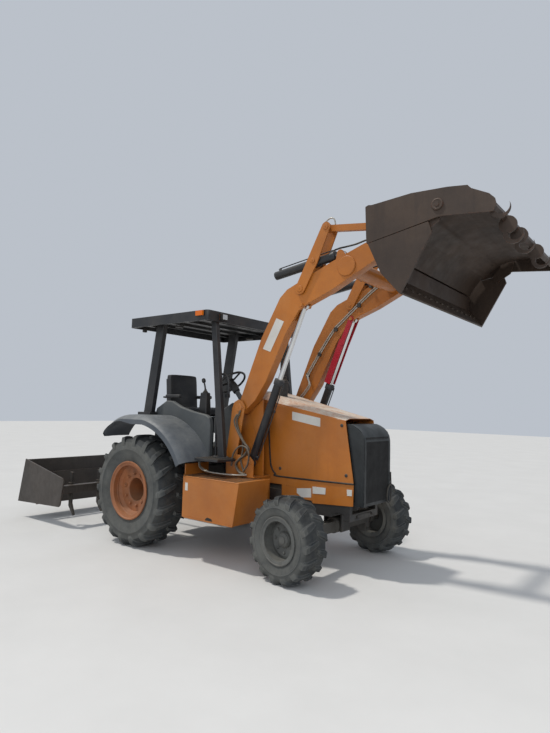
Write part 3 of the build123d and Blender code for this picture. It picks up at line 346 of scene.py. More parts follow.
# Rounded edges on the plate work: width in millimetres
EDGE_ROUNDING = {
    4: ["loader_arms", "tilt_levers", "tilt_links", "bucket_back", "clam", "main_frame", "scraper_box",
        "scraper_shanks", "loader_towers", "front_guard", "side_boxes", "front_axle", "lower_links",
        "top_link"],
    10: ["rops_posts", "rear_axle", "engine_block"],
    8: ["dash_cowl", "canopy"],
    2: ["hood_top", "hood_sides", "side_skirts", "floor_deck", "seat_base", "lock_strut", "lift_barrels",
        "tilt_barrels"],
}
WELD_DISTANCE = 0.0001
for width, names in EDGE_ROUNDING.items():
    for name in names:
        frame["nodes"][name].modifiers.new("weld", "WELD").merge_threshold = WELD_DISTANCE
        rounded(frame["nodes"][name], width).modifiers["edges"].harden_normals = True


def piece(name, mesh, finish, body="chassis", smooth=None):
    """A finished mesh that moves with a body. Edges sharper than the smooth angle stay sharp."""
    bmesh.ops.recalc_face_normals(mesh, faces=mesh.faces)
    data = bpy.data.meshes.new(name)
    mesh.to_mesh(data)
    mesh.free()
    obj = bpy.data.objects.new(name, data)
    bpy.context.scene.collection.objects.link(obj)
    data.materials.append(MATERIALS[finish])
    if smooth is not None:
        data.shade_smooth()
        data.set_sharp_from_angle(angle=radians(smooth))
    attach(obj, body)
    return obj


def circle(centre, first, second, radius, count, phase=0.0):
    """Places spaced evenly round a centre, from two directions and a radius in millimetres."""
    turns = [2 * pi * (k + phase) / count for k in range(count)]
    return [centre + (first * cos(a) + second * sin(a)) * (radius / 1000) for a in turns]


def frame_of(axis):
    """Two directions square to an axis."""
    axis = axis.normalized()
    first = axis.orthogonal().normalized()
    return first, axis.cross(first)


def join_rings(mesh, rings, closed=False):
    """Faces between rings of vertices. The ends are capped, or the last ring joins the first."""
    if closed:
        rings = rings + rings[:1]
    for low, high in zip(rings, rings[1:]):
        for k in range(len(low)):
            j = (k + 1) % len(low)
            mesh.faces.new((low[k], low[j], high[j], high[k]))
    if not closed:
        mesh.faces.new(rings[0])
        mesh.faces.new(list(reversed(rings[-1])))


def add_lathe(mesh, centre, axis, profile, segments=48, closed=False):
    """Turns a profile of radius and distance along the axis, in millimetres, about an axis."""
    axis = axis.normalized()
    rings = []
    for radius, distance in profile:
        places = circle(centre + axis * (distance / 1000), *frame_of(axis), radius, segments)
        rings.append([mesh.verts.new(place) for place in places])
    join_rings(mesh, rings, closed)


def add_prism(mesh, corners, shift):
    """A solid between an outline and its copy moved by shift."""
    join_rings(mesh, [[mesh.verts.new(c) for c in corners], [mesh.verts.new(c + shift) for c in corners]])


def add_plate(mesh, side, y, outline, thickness):
    """A flat plate from its face at y outwards, by its outline of x and z, in millimetres."""
    add_prism(mesh, [at(x, side * y, z) for x, z in outline], LEFT * (side * thickness / 1000))


def add_box(mesh, x, y, z):
    """A box by its spans in millimetres."""
    low, high = sorted(y)
    add_prism(mesh, [at(x[0], low, z[0]), at(x[1], low, z[0]), at(x[1], high, z[0]), at(x[0], high, z[0])],
              SKY * ((z[1] - z[0]) / 1000))


def add_side_boxes(mesh, *boxes):
    """Boxes by their spans of x, y and z in millimetres, on the left and on the right."""
    for side in SIGNS:
        for x, y, z in boxes:
            add_box(mesh, x, (side * y[0], side * y[1]), z)


def add_tube(mesh, points, radius, sides=10):
    """A round bar along points in metres, with flat ends."""
    rings = []
    first = None
    for k, point in enumerate(points):
        ahead = points[min(k + 1, len(points) - 1)] - points[max(k - 1, 0)]
        ahead.normalize()
        first = (ahead.orthogonal() if first is None else first - ahead * first.dot(ahead)).normalized()
        places = circle(point, first, ahead.cross(first), radius, sides)
        rings.append([mesh.verts.new(place) for place in places])
    join_rings(mesh, rings)


def curved(points, steps=8):
    """A smooth line through points, each span a cubic that leaves its ends along their neighbours."""
    line = []
    for k in range(len(points) - 1):
        before, start = points[max(k - 1, 0)], points[k]
        finish, after = points[k + 1], points[min(k + 2, len(points) - 1)]
        for s in range(steps):
            t = s / steps
            line.append(0.5 * ((2 * start) + (finish - before) * t
                               + (2 * before - 5 * start + 4 * finish - after) * t * t
                               + (3 * start - before - 3 * finish + after) * t ** 3))
    return line + [points[-1]]


def side_line(outline, y, steps=8):
    """A smooth line of x and z at one place across the machine."""
    return curved([at(x, y, z) for x, z in outline], steps)


def add_bolt(mesh, place, axis, size):
    """A hexagon head with a washer and a domed top, size across flats in millimetres."""
    half = size * 0.58
    add_lathe(mesh, place, axis, [(size * 0.85, 0), (size * 0.85, 2), (size * 0.8, 2.5)], 16)
    add_lathe(mesh, place, axis, [(half, 2), (half, size * 0.5), (half * 0.8, size * 0.62)], 6)


def bolts(name, places, axis, size, finish, body="chassis"):
    """Hexagon bolts in one mesh, all along one axis."""
    mesh = bmesh.new()
    for place in places:
        add_bolt(mesh, place, axis, size)
    piece(name, mesh, finish, body, smooth=35)


def tubes(name, lines, radius, finish, body="chassis", sides=10):
    """Round bars or hoses in one mesh."""
    mesh = bmesh.new()
    for line in lines:
        add_tube(mesh, line, radius, sides)
    piece(name, mesh, finish, body, smooth=50)


# Floor, world and lamps
FLOOR_HALF = 40
WORLD_COLOUR, WORLD_STRENGTH = (0.80, 0.86, 0.95, 1), 0.62

floor_data = bpy.data.meshes.new("floor")
corners = [(x * FLOOR_HALF, y * FLOOR_HALF, 0) for x, y in ((-1, -1), (1, -1), (1, 1), (-1, 1))]
floor_data.from_pydata(corners, [], [(0, 1, 2, 3)])
floor = bpy.data.objects.new("floor", floor_data)
bpy.context.scene.collection.objects.link(floor)
floor_material, n = new_material("floor")
colour = n.mix(n.ramp(n.noise(1.2, 4.0), 0.3, 0.7), rgb(206, 205, 203), rgb(201, 200, 198))
n.surface(colour, 0.9)
floor_data.materials.append(floor_material)

world = bpy.data.worlds.new("world")
bpy.context.scene.world = world
world.use_nodes = True
world.node_tree.nodes["Background"].inputs["Color"].default_value = WORLD_COLOUR
world.node_tree.nodes["Background"].inputs["Strength"].default_value = WORLD_STRENGTH


def lamp(name, kind, place, target, energy, colour, **size):
    """A lamp that points at a target. Its size is the angle of a sun or the width of an area."""
    data = bpy.data.lights.new(name, kind)
    data.energy = energy
    data.color = colour
    for term, value in size.items():
        setattr(data, term, value)
    obj = bpy.data.objects.new(name, data)
    obj.location = place
    obj.rotation_euler = (Vector(target) - Vector(place)).to_track_quat("-Z", "Y").to_euler()
    bpy.context.scene.collection.objects.link(obj)


lamp("sun", "SUN", (-5.0, -3.4, 12.0), (0.4, 0, 0), 2.1, (1.0, 0.965, 0.90), angle=radians(4))
lamp("fill", "AREA", (6.0, -9.0, 6.0), (0.3, 0, 1.5), 260, (0.92, 0.96, 1.0), size=6.0)

# Wheels, the front ones turned as in the photo
REAR_TRACK_Y, REAR_RADIUS = 855, 640
WHEELBASE, KINGPIN_Y, FRONT_RADIUS = 2190, 640, 406
KINGPIN_REACH = 205
STEER_REST = radians(-7.6)
# Radius, width, the rim's seat radius, the bead's distance, the lugs on a side and their sweep
TYRES = {"rear": (640, 441, 300, 176, 18, 0.17), "front": (406, 294, 195, 118, 15, 0.18)}
CARCASS_STEPS = 96
# A lug's stations from the crown down the wall: distance as a share of the width, then how far the top lies
# below the radius in millimetres and as a share of the wall, the root's share, and half the lug's length
LUG_STATIONS = [(0.02, 1, 0, 0.14, 24), (0.16, 0, 0, 0.15, 30), (0.30, 2, 0, 0.16, 34),
                (0.42, 0, 0.045, 0.2, 37), (0.485, 0, 0.14, 0.25, 38), (0.502, 0, 0.27, 0.33, 36),
                (0.485, 0, 0.38, 0.42, 30)]
LUG_SHOULDER, SWEEP_STATIONS = 3, 4.5
LUG_TOP, LUG_FOOT = 0.78, 1.12


def wheel_axis(kind, side):
    """Centre in metres and outward axis of a wheel."""
    if kind == "rear":
        return at(0, side * REAR_TRACK_Y, REAR_RADIUS), LEFT * side
    outward = Vector((-side * sin(STEER_REST), side * cos(STEER_REST), 0))
    return at(WHEELBASE, side * KINGPIN_Y, FRONT_RADIUS) + outward * (KINGPIN_REACH / 1000), outward


def tyre_section(radius, width, seat, bead):
    """The section from bead to bead: radius and distance from the centre plane."""
    half, wall = width / 2, radius - seat
    outer = [(seat + 2, bead), (seat + 0.05 * wall, bead + 10), (seat + 0.12 * wall, bead + 8),
             (seat + 0.15 * wall, bead + 12), (seat + 0.34 * wall, half - 8), (seat + 0.48 * wall, half - 2),
             (seat + 0.50 * wall, half + 3), (seat + 0.54 * wall, half + 3), (seat + 0.57 * wall, half - 4),
             (seat + 0.74 * wall, half - 10), (radius - 0.17 * wall, half - 0.09 * width),
             (radius - 0.13 * wall, half - 0.17 * width), (radius - 0.11 * wall, half - 0.34 * width),
             (radius - 0.10 * wall, 0)]
    return outer + [(r, -d) for r, d in reversed(outer[:-1])]


def lugged_tyre(kind, side, hand):
    """A tyre with bar lugs that run from the crown's middle over the shoulder, alternately left and right."""
    centre, axis = wheel_axis(kind, side)
    radius, width, seat, bead, lug_count, sweep = TYRES[kind]
    wall = radius - seat
    first, second = SKY, axis.cross(SKY)
    mesh = bmesh.new()
    add_lathe(mesh, centre, axis, tyre_section(radius, width, seat, bead), CARCASS_STEPS, True)
    for k in range(2 * lug_count):
        sign = 1 if k % 2 == 0 else -1
        rings = []
        for s, (share, drop, top_share, root_share, spread) in enumerate(LUG_STATIONS):
            distance = share * width
            top = radius - drop - top_share * wall
            foot = radius - root_share * wall - (12 if s > LUG_SHOULDER else 4)
            foot_distance = distance - (8 if s > LUG_SHOULDER else 0)
            lean = pi + pi * k / lug_count + sweep * side * min(s / SWEEP_STATIONS, 1.0)
            wide = spread / radius
            ring = []
            for turned, r, d in ((-LUG_TOP, top, distance), (LUG_TOP, top, distance),
                                 (LUG_FOOT, foot, foot_distance), (-LUG_FOOT, foot, foot_distance)):
                a = lean + wide * turned
                ring.append(mesh.verts.new(centre + axis * (sign * d / 1000)
                                           + (first * cos(a) + second * sin(a)) * (r / 1000)))
            rings.append(ring)
        join_rings(mesh, rings)
    tyre = piece(f"{kind}_lug_tyre_{hand}", mesh, "tyre_rubber", f"{kind}_wheel_{hand}", smooth=32)
    rounded(tyre, 5, angle=38)
    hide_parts(f"{kind}_tyre_{hand}")


for side, hand in SIDES:
    for kind in TYRES:
        lugged_tyre(kind, side, hand)

# Wheel fittings: lock rings, nuts and hub caps, by profiles of radius and distance in millimetres
REAR_RINGS = [[(305, 178), (332, 190), (337, 196), (334, 204), (322, 205), (312, 196), (300, 184)],
              [(290, 122), (296, 128), (296, 138), (288, 142), (282, 134)]]
REAR_CAP = [(60, -152), (66, -146), (66, -136), (58, -132), (48, -130), (48, -112), (40, -106), (0.5, -104)]
FRONT_CAP = [(64, 54), (66, 60), (58, 66), (40, 72), (38, 78), (22, 80), (0.5, 80)]
FRONT_RING = [(198, 120), (222, 130), (226, 134), (224, 140), (214, 141), (206, 133), (196, 124)]
for side, hand in SIDES:
    body = f"rear_wheel_{hand}"
    hub, axis = wheel_axis("rear", side)
    across = frame_of(axis)
    mesh = bmesh.new()
    for profile in REAR_RINGS:
        add_lathe(mesh, hub, axis, profile, 72, True)
    piece(f"rear_rim_rings_{hand}", mesh, "rim_orange", body, smooth=40)
    mesh = bmesh.new()
    for place in circle(hub + axis * 0.085, *across, 185, 10, 0.5):
        add_lathe(mesh, place, axis, [(20, -2), (20, 6), (16, 8)], 20)
        add_bolt(mesh, place + axis * 0.007, axis, 27)
    piece(f"rear_nuts_{hand}", mesh, "rim_orange", body, smooth=35)
    mesh = bmesh.new()
    add_lathe(mesh, hub, axis, REAR_CAP, 40)
    piece(f"rear_hub_cap_{hand}", mesh, "axle_grey", body, smooth=35)

    body = f"front_wheel_{hand}"
    hub, axis = wheel_axis("front", side)
    across = frame_of(axis)
    bolts(f"front_nuts_{hand}", circle(hub + axis * 0.036, *across, 122, 8), axis, 22, "rim_grey", body)
    mesh = bmesh.new()
    add_lathe(mesh, hub, axis, FRONT_CAP, 40)
    for place in circle(hub + axis * 0.062, *across, 52, 6):
        add_bolt(mesh, place, axis, 10)
    piece(f"front_hub_cap_{hand}", mesh, "rim_grey", body, smooth=35)
    mesh = bmesh.new()
    add_lathe(mesh, hub, axis, FRONT_RING, 64, True)
    piece(f"front_rim_ring_{hand}", mesh, "rim_grey", body, smooth=40)

# Fenders and consoles: moulded forms with a rolled outer flange
FENDER_INNER, FENDER_STEPS = 620.0, 12
# Arcs and the flat between them, each by its start, a point on the way and its end
FENDER_ARCS = (((-612, 1246), (-462, 1412), (-215, 1517)), ((-215, 1517), (-8, 1517), (200, 1517)),
               ((200, 1517), (590, 1366), (890, 1035)))
# Outer skin, then inner skin: place across the machine and depth below the crown. The lip's depth varies.
FENDER_SECTION = [(620, 0), (800, 0), (930, 5), (980, 14), (1016, 28), (1042, 46), (1050, 55), (1050, None),
                  (1040, None), (1040, 59), (1034, 53), (1010, 38), (976, 26), (928, 18), (800, 13),
                  (620, 13)]
# The rear tip is narrower over its first run, and the lip grows from the tip on
TIP_RUN, TIP_WIDTH = 120.0, 0.88
LIP_DEPTH, LIP_GROWTH, LIP_RUN = 24, 86, 700


def arc_points(start, middle, finish, steps):
    """Points on the circle through three places, or on the line where they lie in a row."""
    a, b, c = Vector(start), Vector(middle), Vector(finish)
    ab, ac = b - a, c - a
    cross = ab.x * ac.y - ab.y * ac.x
    if abs(cross) < 1e-6:
        return [a.lerp(c, k / steps) for k in range(steps + 1)]
    centre = a + Vector((ac.y * ab.length_squared - ab.y * ac.length_squared,
                         ab.x * ac.length_squared - ac.x * ab.length_squared)) / (2 * cross)
    from_a, to_c = a - centre, c - centre
    sweep = from_a.angle_signed(to_c)
    return [centre + Vector((from_a.x * cos(t) + from_a.y * sin(t), from_a.y * cos(t) - from_a.x * sin(t)))
            for t in (sweep * k / steps for k in range(steps + 1))]


fender_line = []
for arc in FENDER_ARCS:
    fender_line += arc_points(*arc, FENDER_STEPS)[1 if fender_line else 0:]
mesh = bmesh.new()
for side in SIGNS:
    rings, run = [], 0.0
    for k, point in enumerate(fender_line):
        before, after = fender_line[max(k - 1, 0)], fender_line[min(k + 1, len(fender_line) - 1)]
        run += (point - before).length
        ahead = (after - before).normalized()
        inward = Vector((ahead.y, -ahead.x))
        share = min(run / TIP_RUN, 1.0)
        width = TIP_WIDTH + (1 - TIP_WIDTH) * (1 - (1 - share) ** 2) ** 0.5
        lip = LIP_DEPTH + LIP_GROWTH * min(run / LIP_RUN, 1.0) ** 1.2
        ring = []
        for y, depth in FENDER_SECTION:
            place = point + inward * (lip if depth is None else min(depth, lip))
            across = side * (FENDER_INNER + (y - FENDER_INNER) * width)
            ring.append(mesh.verts.new(at(place.x, across, place.y)))
        rings.append(ring)
    join_rings(mesh, rings)
fenders = piece("moulded_fenders", mesh, "fender_plastic", smooth=38)
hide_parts("rear_fenders")

CONSOLE_OUTLINE = [(-90, 1065), (-96, 1540), (-70, 1600), (110, 1696), (210, 1690), (370, 1622), (563, 1576),
                   (790, 1540), (846, 1510), (866, 1440), (871, 1065)]
mesh = bmesh.new()
for side in SIGNS:
    add_plate(mesh, side, 560, CONSOLE_OUTLINE, 61)
consoles = rounded(piece("moulded_consoles", mesh, "console_plastic", smooth=40), 14, 4)
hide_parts("fender_consoles")

# Seat pads
PAD_CUTS, PAD_CROWN, PAD_TUCK, CHANNEL_DEPTH = 15, 0.16, 0.24, 0.10
CORNER_PULL, FACE_PULL = 0.035, 0.03


def crowned_pad(name, low, high, lean, channels):
    """A stuffed pad between two corners, in millimetres: crowned faces, tucked edges and sewn channels."""
    mesh = bmesh.new()
    bmesh.ops.create_cube(mesh, size=1.0)
    bmesh.ops.subdivide_edges(mesh, edges=mesh.edges[:], cuts=PAD_CUTS, use_grid_fill=True)
    size = [high[i] - low[i] for i in range(3)]
    thin = size.index(min(size))
    wide = [i for i in range(3) if i != thin]
    across_axis = wide[1] if wide[1] != 1 else wide[0]
    for vert in mesh.verts:
        c = [vert.co[i] * 2 for i in range(3)]
        bulge = (1 - abs(c[wide[0]]) ** 4) * (1 - abs(c[wide[1]]) ** 4)
        edge = max(abs(c[wide[0]]), abs(c[wide[1]]))
        level = c[thin] * (1 - PAD_TUCK * edge ** 6) * (1 - PAD_CROWN * (1 - bulge))
        if c[thin] > 0.5:
            groove = max(0.0, cos(c[across_axis] * pi * channels)) ** 12
            level -= CHANNEL_DEPTH * groove * bulge
        c[thin] = level
        for i, other in (wide, reversed(wide)):
            c[i] *= 1 - CORNER_PULL * abs(c[other]) ** 5
            c[i] *= 1 - FACE_PULL * c[thin] ** 4
        place = [low[i] + size[i] * (c[i] + 1) / 2 for i in range(3)]
        place[0] -= lean * (place[2] - low[2])
        vert.co = at(*place)
    pad = piece(name, mesh, "seat_cover", smooth=60)
    finer = pad.modifiers.new("smooth", "SUBSURF")
    finer.levels = finer.render_levels = 1
    return pad


cushion = crowned_pad("seat_cushion", (-185, -238, 1501), (233, 238, 1621), 0.0, 3)
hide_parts("seat_pads")
backrest = crowned_pad("seat_backrest", (-326, -238, 1502), (-208, 238, 2050), 0.085, 4)
PIPING = [(228, 1600), (100, 1617), (-60, 1617), (-175, 1600)]
tubes("seat_piping", [side_line(PIPING, y) for y in (-236, 236)], 4, "seat_cover")

# Operator station: column boot, control pedestal, levers, rails, armrests and pedals
COLUMN_TOP, COLUMN_FOOT = at(612, 0, 1936), at(930, 0, 1560)
mesh = bmesh.new()
for profile, steps in (([(20, -150), (44, -140), (52, -60), (46, -6), (30, -2)], 24),
                       ([(46, 24), (52, 30), (50, 38), (34, 44), (0.5, 45)], 32)):
    add_lathe(mesh, COLUMN_TOP, COLUMN_TOP - COLUMN_FOOT, profile, steps)
piece("column_boot", mesh, "wheel_plastic", smooth=40)

# The loader's control pedestal at the driver's right: spans of x and y, and the height, at its foot and top
PEDESTAL = ((500, 690, -505, -385, 1075), (548, 650, -482, -408, 1800))
mesh = bmesh.new()
join_rings(mesh, [[mesh.verts.new(at(x, y, z)) for x, y in ((x0, y0), (x1, y0), (x1, y1), (x0, y1))]
                  for x0, x1, y0, y1, z in PEDESTAL])
rounded(piece("control_pedestal", mesh, "wheel_plastic", smooth=40), 14, 4)

LEVERS = [[at(598, -445, 1808), at(590, -447, 1870), at(572, -450, 1930)],
          [at(900, 70, 1640), at(850, 84, 1740), at(800, 92, 1830)]]
KNOB = [(11, 0), (20, 6), (25, 24), (23, 44), (12, 56), (0.5, 58)]
BOOT = [(34, 0), (34, 10), (26, 16), (24, 24), (16, 30), (14, 44), (8, 48)]
tubes("control_levers", [curved(line, 5) for line in LEVERS], 10, "black_paint")
mesh = bmesh.new()
for line in LEVERS:
    ahead = (line[-1] - line[-2]).normalized()
    add_lathe(mesh, line[-1] - ahead * 0.014, ahead, KNOB, 20)
piece("lever_knobs", mesh, "wheel_plastic", smooth=50)
mesh = bmesh.new()
for line in LEVERS:
    add_lathe(mesh, line[0] - SKY * 0.012, SKY, BOOT, 24)
piece("lever_boots", mesh, "hose_rubber", smooth=40)

GRAB_Y = 572
GRAB_RAIL = [(925, 1078), (918, 1400), (906, 1880), (914, 1960), (950, 2000), (1000, 2006), (1050, 1990),
             (1084, 1935), (1092, 1850), (1086, 1750)]
tubes("grab_rails", [side_line(GRAB_RAIL, y, 6) for y in (-GRAB_Y, GRAB_Y)], 13, "black_paint", sides=14)
mesh = bmesh.new()
add_side_boxes(mesh, ((1062, 1104), (555, 601), (1740, 1784)))
for side in SIGNS:
    add_lathe(mesh, at(925, side * GRAB_Y, 1074), SKY, [(30, 0), (30, 8), (22, 11)], 24)
rounded(piece("grab_rail_feet", mesh, "black_paint"), 3)

for side, hand in SIDES:
    mesh = bmesh.new()
    add_box(mesh, (-300, -20), (side * 248, side * 300), (1735, 1780))
    rounded(piece(f"armrest_{hand}", mesh, "seat_cover", smooth=40), 16, 4)
    bar = [at(-352, side * 205, 1740), at(-352, side * 272, 1745), at(-280, side * 274, 1745)]
    tubes(f"armrest_bar_{hand}", [bar], 12, "black_paint")

mesh = bmesh.new()
for y in (150, 60, -120, -190):
    corners = [at(905, y - 34, 1130), at(905, y + 34, 1130), at(870, y + 34, 1225), at(870, y - 34, 1225)]
    add_prism(mesh, corners, Vector((0.010, 0, 0.004)))
    add_tube(mesh, [at(895, y, 1170), at(960, y, 1150), at(1045, y, 1090)], 8)
rounded(piece("pedals", mesh, "dark_steel"), 3)

mesh = bmesh.new()
for y in range(612, 853, 24):
    add_side_boxes(mesh, ((920, 1235), (y - 5, y + 5), (1074.5, 1079)))
piece("step_treads", mesh, "dark_steel")
mesh = bmesh.new()
for k in range(22):
    x = -310 + 57.6 * k
    add_box(mesh, (x, x + 10), (-560, 560), (1074.5, 1078))
piece("floor_mat_ribs", mesh, "hose_rubber")

# Instrument pod on the dash
mesh = bmesh.new()
corners = [at(900, -190, 1640), at(900, 190, 1640), at(905, 170, 1700), at(905, -170, 1700)]
add_prism(mesh, corners, Vector((0.15, 0, 0.08)))
rounded(piece("instrument_pod", mesh, "wheel_plastic"), 8, 3)

# Canopy fittings
mesh = bmesh.new()
add_side_boxes(mesh, ((820, 950), (850, 856), (2642, 2708)))
rounded(piece("flasher_bases", mesh, "wheel_plastic"), 2)
mesh = bmesh.new()
add_side_boxes(mesh, ((1000.5, 1037.5), (558, 662), (2615, 2689)), ((-122, -58), (690, 812), (2603, 2670)))
rounded(piece("work_lamp_housings", mesh, "wheel_plastic"), 4, 3)
mesh = bmesh.new()
add_side_boxes(mesh, ((1037, 1041), (575, 645), (2624, 2680)))
piece("work_lamp_lenses", mesh, "clear_lens", smooth=40)
mesh = bmesh.new()
add_side_boxes(mesh, *[((x - 18, x + 18), (638, 682), (2560, 2606)) for x in (-320, 950)])
for side in SIGNS:
    add_lathe(mesh, at(320, side * 650, 2598), SKY, [(45, -22), (50, -16), (50, 0)], 28)
piece("canopy_fittings", mesh, "dark_steel", smooth=35)
mesh = bmesh.new()
for x in (-230, 60, 350, 640, 900):
    add_box(mesh, (x - 16, x + 16), (-824, 824), (2655, 2684))
rounded(piece("canopy_ribs", mesh, "black_paint"), 3)

mesh = bmesh.new()
add_side_boxes(mesh, ((-285, -50), (590, 740), (1514, 1548)), ((1015, 1205), (600, 715), (1074, 1086)))
rounded(piece("post_feet", mesh, "black_paint"), 2)
POST_BOLTS = ((-205, 600, 1547), (-130, 600, 1547), (1040, 655, 1086), (1180, 655, 1086))
bolts("post_bolts", [at(x, side * y, z) for side in SIGNS for x, y, z in POST_BOLTS], SKY, 20, "dark_steel")

# Hood: seal strips, latches and blank labels
HOOD_SEAM = [(1446, 1680), (1500, 1092), (1524, 985), (1575, 925), (1650, 898), (2556, 908)]
LATCH = [(18, 0), (18, 3), (14, 6), (6, 7), (0.5, 5)]
HOOD_LABEL = [(1785, 1606), (2150, 1546), (2150, 1456), (1788, 1516)]
SKIRT_LABELS = [[(1872, 796), (2056, 817), (2056, 721), (1939, 708), (1874, 747)],
                [(2072, 836), (2233, 839), (2230, 772), (2074, 764)],
                [(2481, 850), (2541, 852), (2539, 792), (2486, 789)]]
for side, hand in SIDES:
    tubes(f"hood_seal_{hand}", [side_line(HOOD_SEAM, side * 300)], 9, "seal_black")
    mesh = bmesh.new()
    for x, z in ((1640, 985), (2470, 985), (1540, 1600), (2410, 1480)):
        add_lathe(mesh, at(x, side * 297, z), LEFT * side, LATCH, 24)
    piece(f"hood_latches_{hand}", mesh, "dark_steel", smooth=35)
    mesh = bmesh.new()
    add_plate(mesh, side, 298, HOOD_LABEL, 1.2)
    for outline in SKIRT_LABELS:
        add_plate(mesh, side, 300, outline, 1.5)
    piece(f"blank_labels_{hand}", mesh, "label_white")

# The skirts run on behind the wheels and back to the towers
SKIRT_RUNS = [[(1671, 814.5), (2048.5, 774.5), (2078, 666), (2060, 690), (1671, 706)],
              [(1296, 904.5), (1524.5, 904.5), (1524.5, 815), (1296, 808)]]
mesh = bmesh.new()
for side in SIGNS:
    for outline in SKIRT_RUNS:
        add_plate(mesh, side, 296, outline, 4)
piece("skirt_runs", mesh, "orange_paint")

# Front guard: a bent cover over the top and down both front corners, with a fine screen between them
COVER_LINE = [(2462, 1497), (2500, 1496), (2545, 1480), (2590, 1455), (2628, 1420), (2652, 1378),
              (2662, 1325), (2664, 1240), (2664, 690)]
COVER_TOP, COVER_SHEET, COVER_HALF, COVER_BORDER = 7, 6, 279, 38
CHEEK_SHEET = 3.5
CHEEK_REAR = [(x - 34, z) for x, z in reversed(COVER_LINE[5:])] + [(2560, 1432), (2500, 1462), (2466, 1462)]


def add_bent_strip(mesh, line, low, high):
    """The cover's sheet along a line of x and z, between two places across the machine."""
    inner = []
    for k, (x, z) in enumerate(line):
        ahead = Vector(line[min(k + 1, len(line) - 1)]) - Vector(line[max(k - 1, 0)])
        ahead.normalize()
        inner.append((x + ahead.y * COVER_SHEET, z - ahead.x * COVER_SHEET))
    add_plate(mesh, 1, low, line + inner[::-1], high - low)


mesh = bmesh.new()
add_bent_strip(mesh, COVER_LINE[:COVER_TOP], -COVER_HALF, COVER_HALF)
for low in (-COVER_HALF, COVER_HALF - COVER_BORDER):
    add_bent_strip(mesh, COVER_LINE[COVER_TOP - 1:], low, low + COVER_BORDER)
for side in SIGNS:
    add_plate(mesh, side, COVER_HALF - CHEEK_SHEET, COVER_LINE + CHEEK_REAR, CHEEK_SHEET)
rounded(piece("guard_cover", mesh, "guard_steel", smooth=30), 2.5, 3)
UPRIGHT_WIRES, LEVEL_WIRES = 37, 44
mesh = bmesh.new()
for k in range(UPRIGHT_WIRES):
    y = -240 + 480 * k / (UPRIGHT_WIRES - 1)
    add_tube(mesh, [at(2656, y, 722), at(2655, y, 1370)], 4.2, 6)
for k in range(LEVEL_WIRES):
    z = 726 + 15 * k
    add_tube(mesh, [at(2648, -244, z), at(2648, 244, z)], 3.4, 6)
piece("guard_screen", mesh, "screen_steel", smooth=50)
# A tow loop hangs at the left front corner
TOW_LOOP = [(262, 1000), (272, 900), (281, 802), (262, 700), (222, 690), (190, 722), (194, 800), (222, 850),
            (262, 868)]
tubes("tow_loop", [curved([at(2676, y, z) for y, z in TOW_LOOP])], 8, "dark_steel")
FIN_COUNT = 46
mesh = bmesh.new()
add_box(mesh, (2470, 2520), (-250, 250), (720, 1440))
for k in range(FIN_COUNT):
    y = -245 + 490 * k / (FIN_COUNT - 1)
    add_box(mesh, (2519, 2530), (y - 2, y + 2), (730, 1400))
piece("radiator", mesh, "seal_black")

# Muffler shield and clamps on the stack: height, profile and steps
STACK_CLAMP = [(37, 0), (39, 3), (39, 12), (37, 15)]
STACK_BANDS = [(1835, [(59, 0), (62, 4), (62, 96), (59, 100)], 36),
               (1985, [(40, -4), (44, 0), (44, 14), (40, 18)], 28), (2080, STACK_CLAMP, 28),
               (2200, STACK_CLAMP, 28)]
mesh = bmesh.new()
for z, profile, steps in STACK_BANDS:
    add_lathe(mesh, at(1500, -100, z), SKY, profile, steps)
piece("stack_bands", mesh, "dark_steel", smooth=35)

# Side boxes: rims, black sheets of painted shade in the notches, tray ribs and blank labels
BOX_RIM = [(780, 900), (880, 996), (1664, 996), (1664, 510)]
BOX_NOTCH = [(1210, 455), (1330, 455), (1310, 490), (1250, 500), (1225, 482)]
BOX_LABEL = [(905, 738), (945, 738), (945, 820), (905, 820)]
for side, hand in SIDES:
    mesh = bmesh.new()
    add_box(mesh, (900, 1604), (side * 995, side * 1007), (452, 466))
    add_tube(mesh, [at(x, side * y, 884) for x, y in BOX_RIM], 7)
    piece(f"box_rims_{hand}", mesh, "orange_paint", smooth=50)
    # Each notch is drawn as a black sheet in its outline: painted shade for the notch's dark hollow.
    mesh = bmesh.new()
    add_plate(mesh, side, 998, BOX_NOTCH, 3)
    piece(f"painted_notch_shade_{hand}", mesh, "seal_black")
    mesh = bmesh.new()
    for x in range(820, 1549, 56):
        add_box(mesh, (x, x + 12), (side * 520, side * 960), (879, 884))
    piece(f"box_tray_ribs_{hand}", mesh, "dark_steel")
    mesh = bmesh.new()
    add_plate(mesh, side, 1000, BOX_LABEL, 1.5)
    piece(f"box_label_{hand}", mesh, "label_white")

# Loader arms: steel pipes with clamps and a blank label. The pipes' lower ends pass inside the towers.
ARM_PIPE = [(1350, 403, 1742), (1452, 403, 1850), (1512, 405, 1942), (1478, 415, 2034), (1491, 430, 2102),
            (1785, 438, 2541), (1962, 438, 2709), (2365, 438, 3034), (2560, 438, 3100)]
PIPE_CLAMPS = [(1462, 2060), (1625, 2312), (1850, 2603), (2160, 2866)]
for side, hand in SIDES:
    lines = [curved([at(x + aside, side * y, z - below) for x, y, z in ARM_PIPE], 10)
             for aside, below in ((0, 0), (16, 18))]
    tubes(f"arm_pipes_{hand}", lines, 7.5, "zinc_tube", "arms")
    mesh = bmesh.new()
    for x, z in PIPE_CLAMPS:
        add_box(mesh, (x - 12, x + 34), (side * 427, side * 446), (z - 36, z + 14))
    rounded(piece(f"pipe_clamps_{hand}", mesh, "dark_steel", "arms"), 2)

ARM_LABEL = [(1736, 2592), (1838, 2549), (1665, 2235), (1562, 2272)]
for side, hand in SIDES:
    mesh = bmesh.new()
    add_plate(mesh, side, 555.5, ARM_LABEL, 1.5)
    piece(f"arm_label_{hand}", mesh, "label_white", "arms")

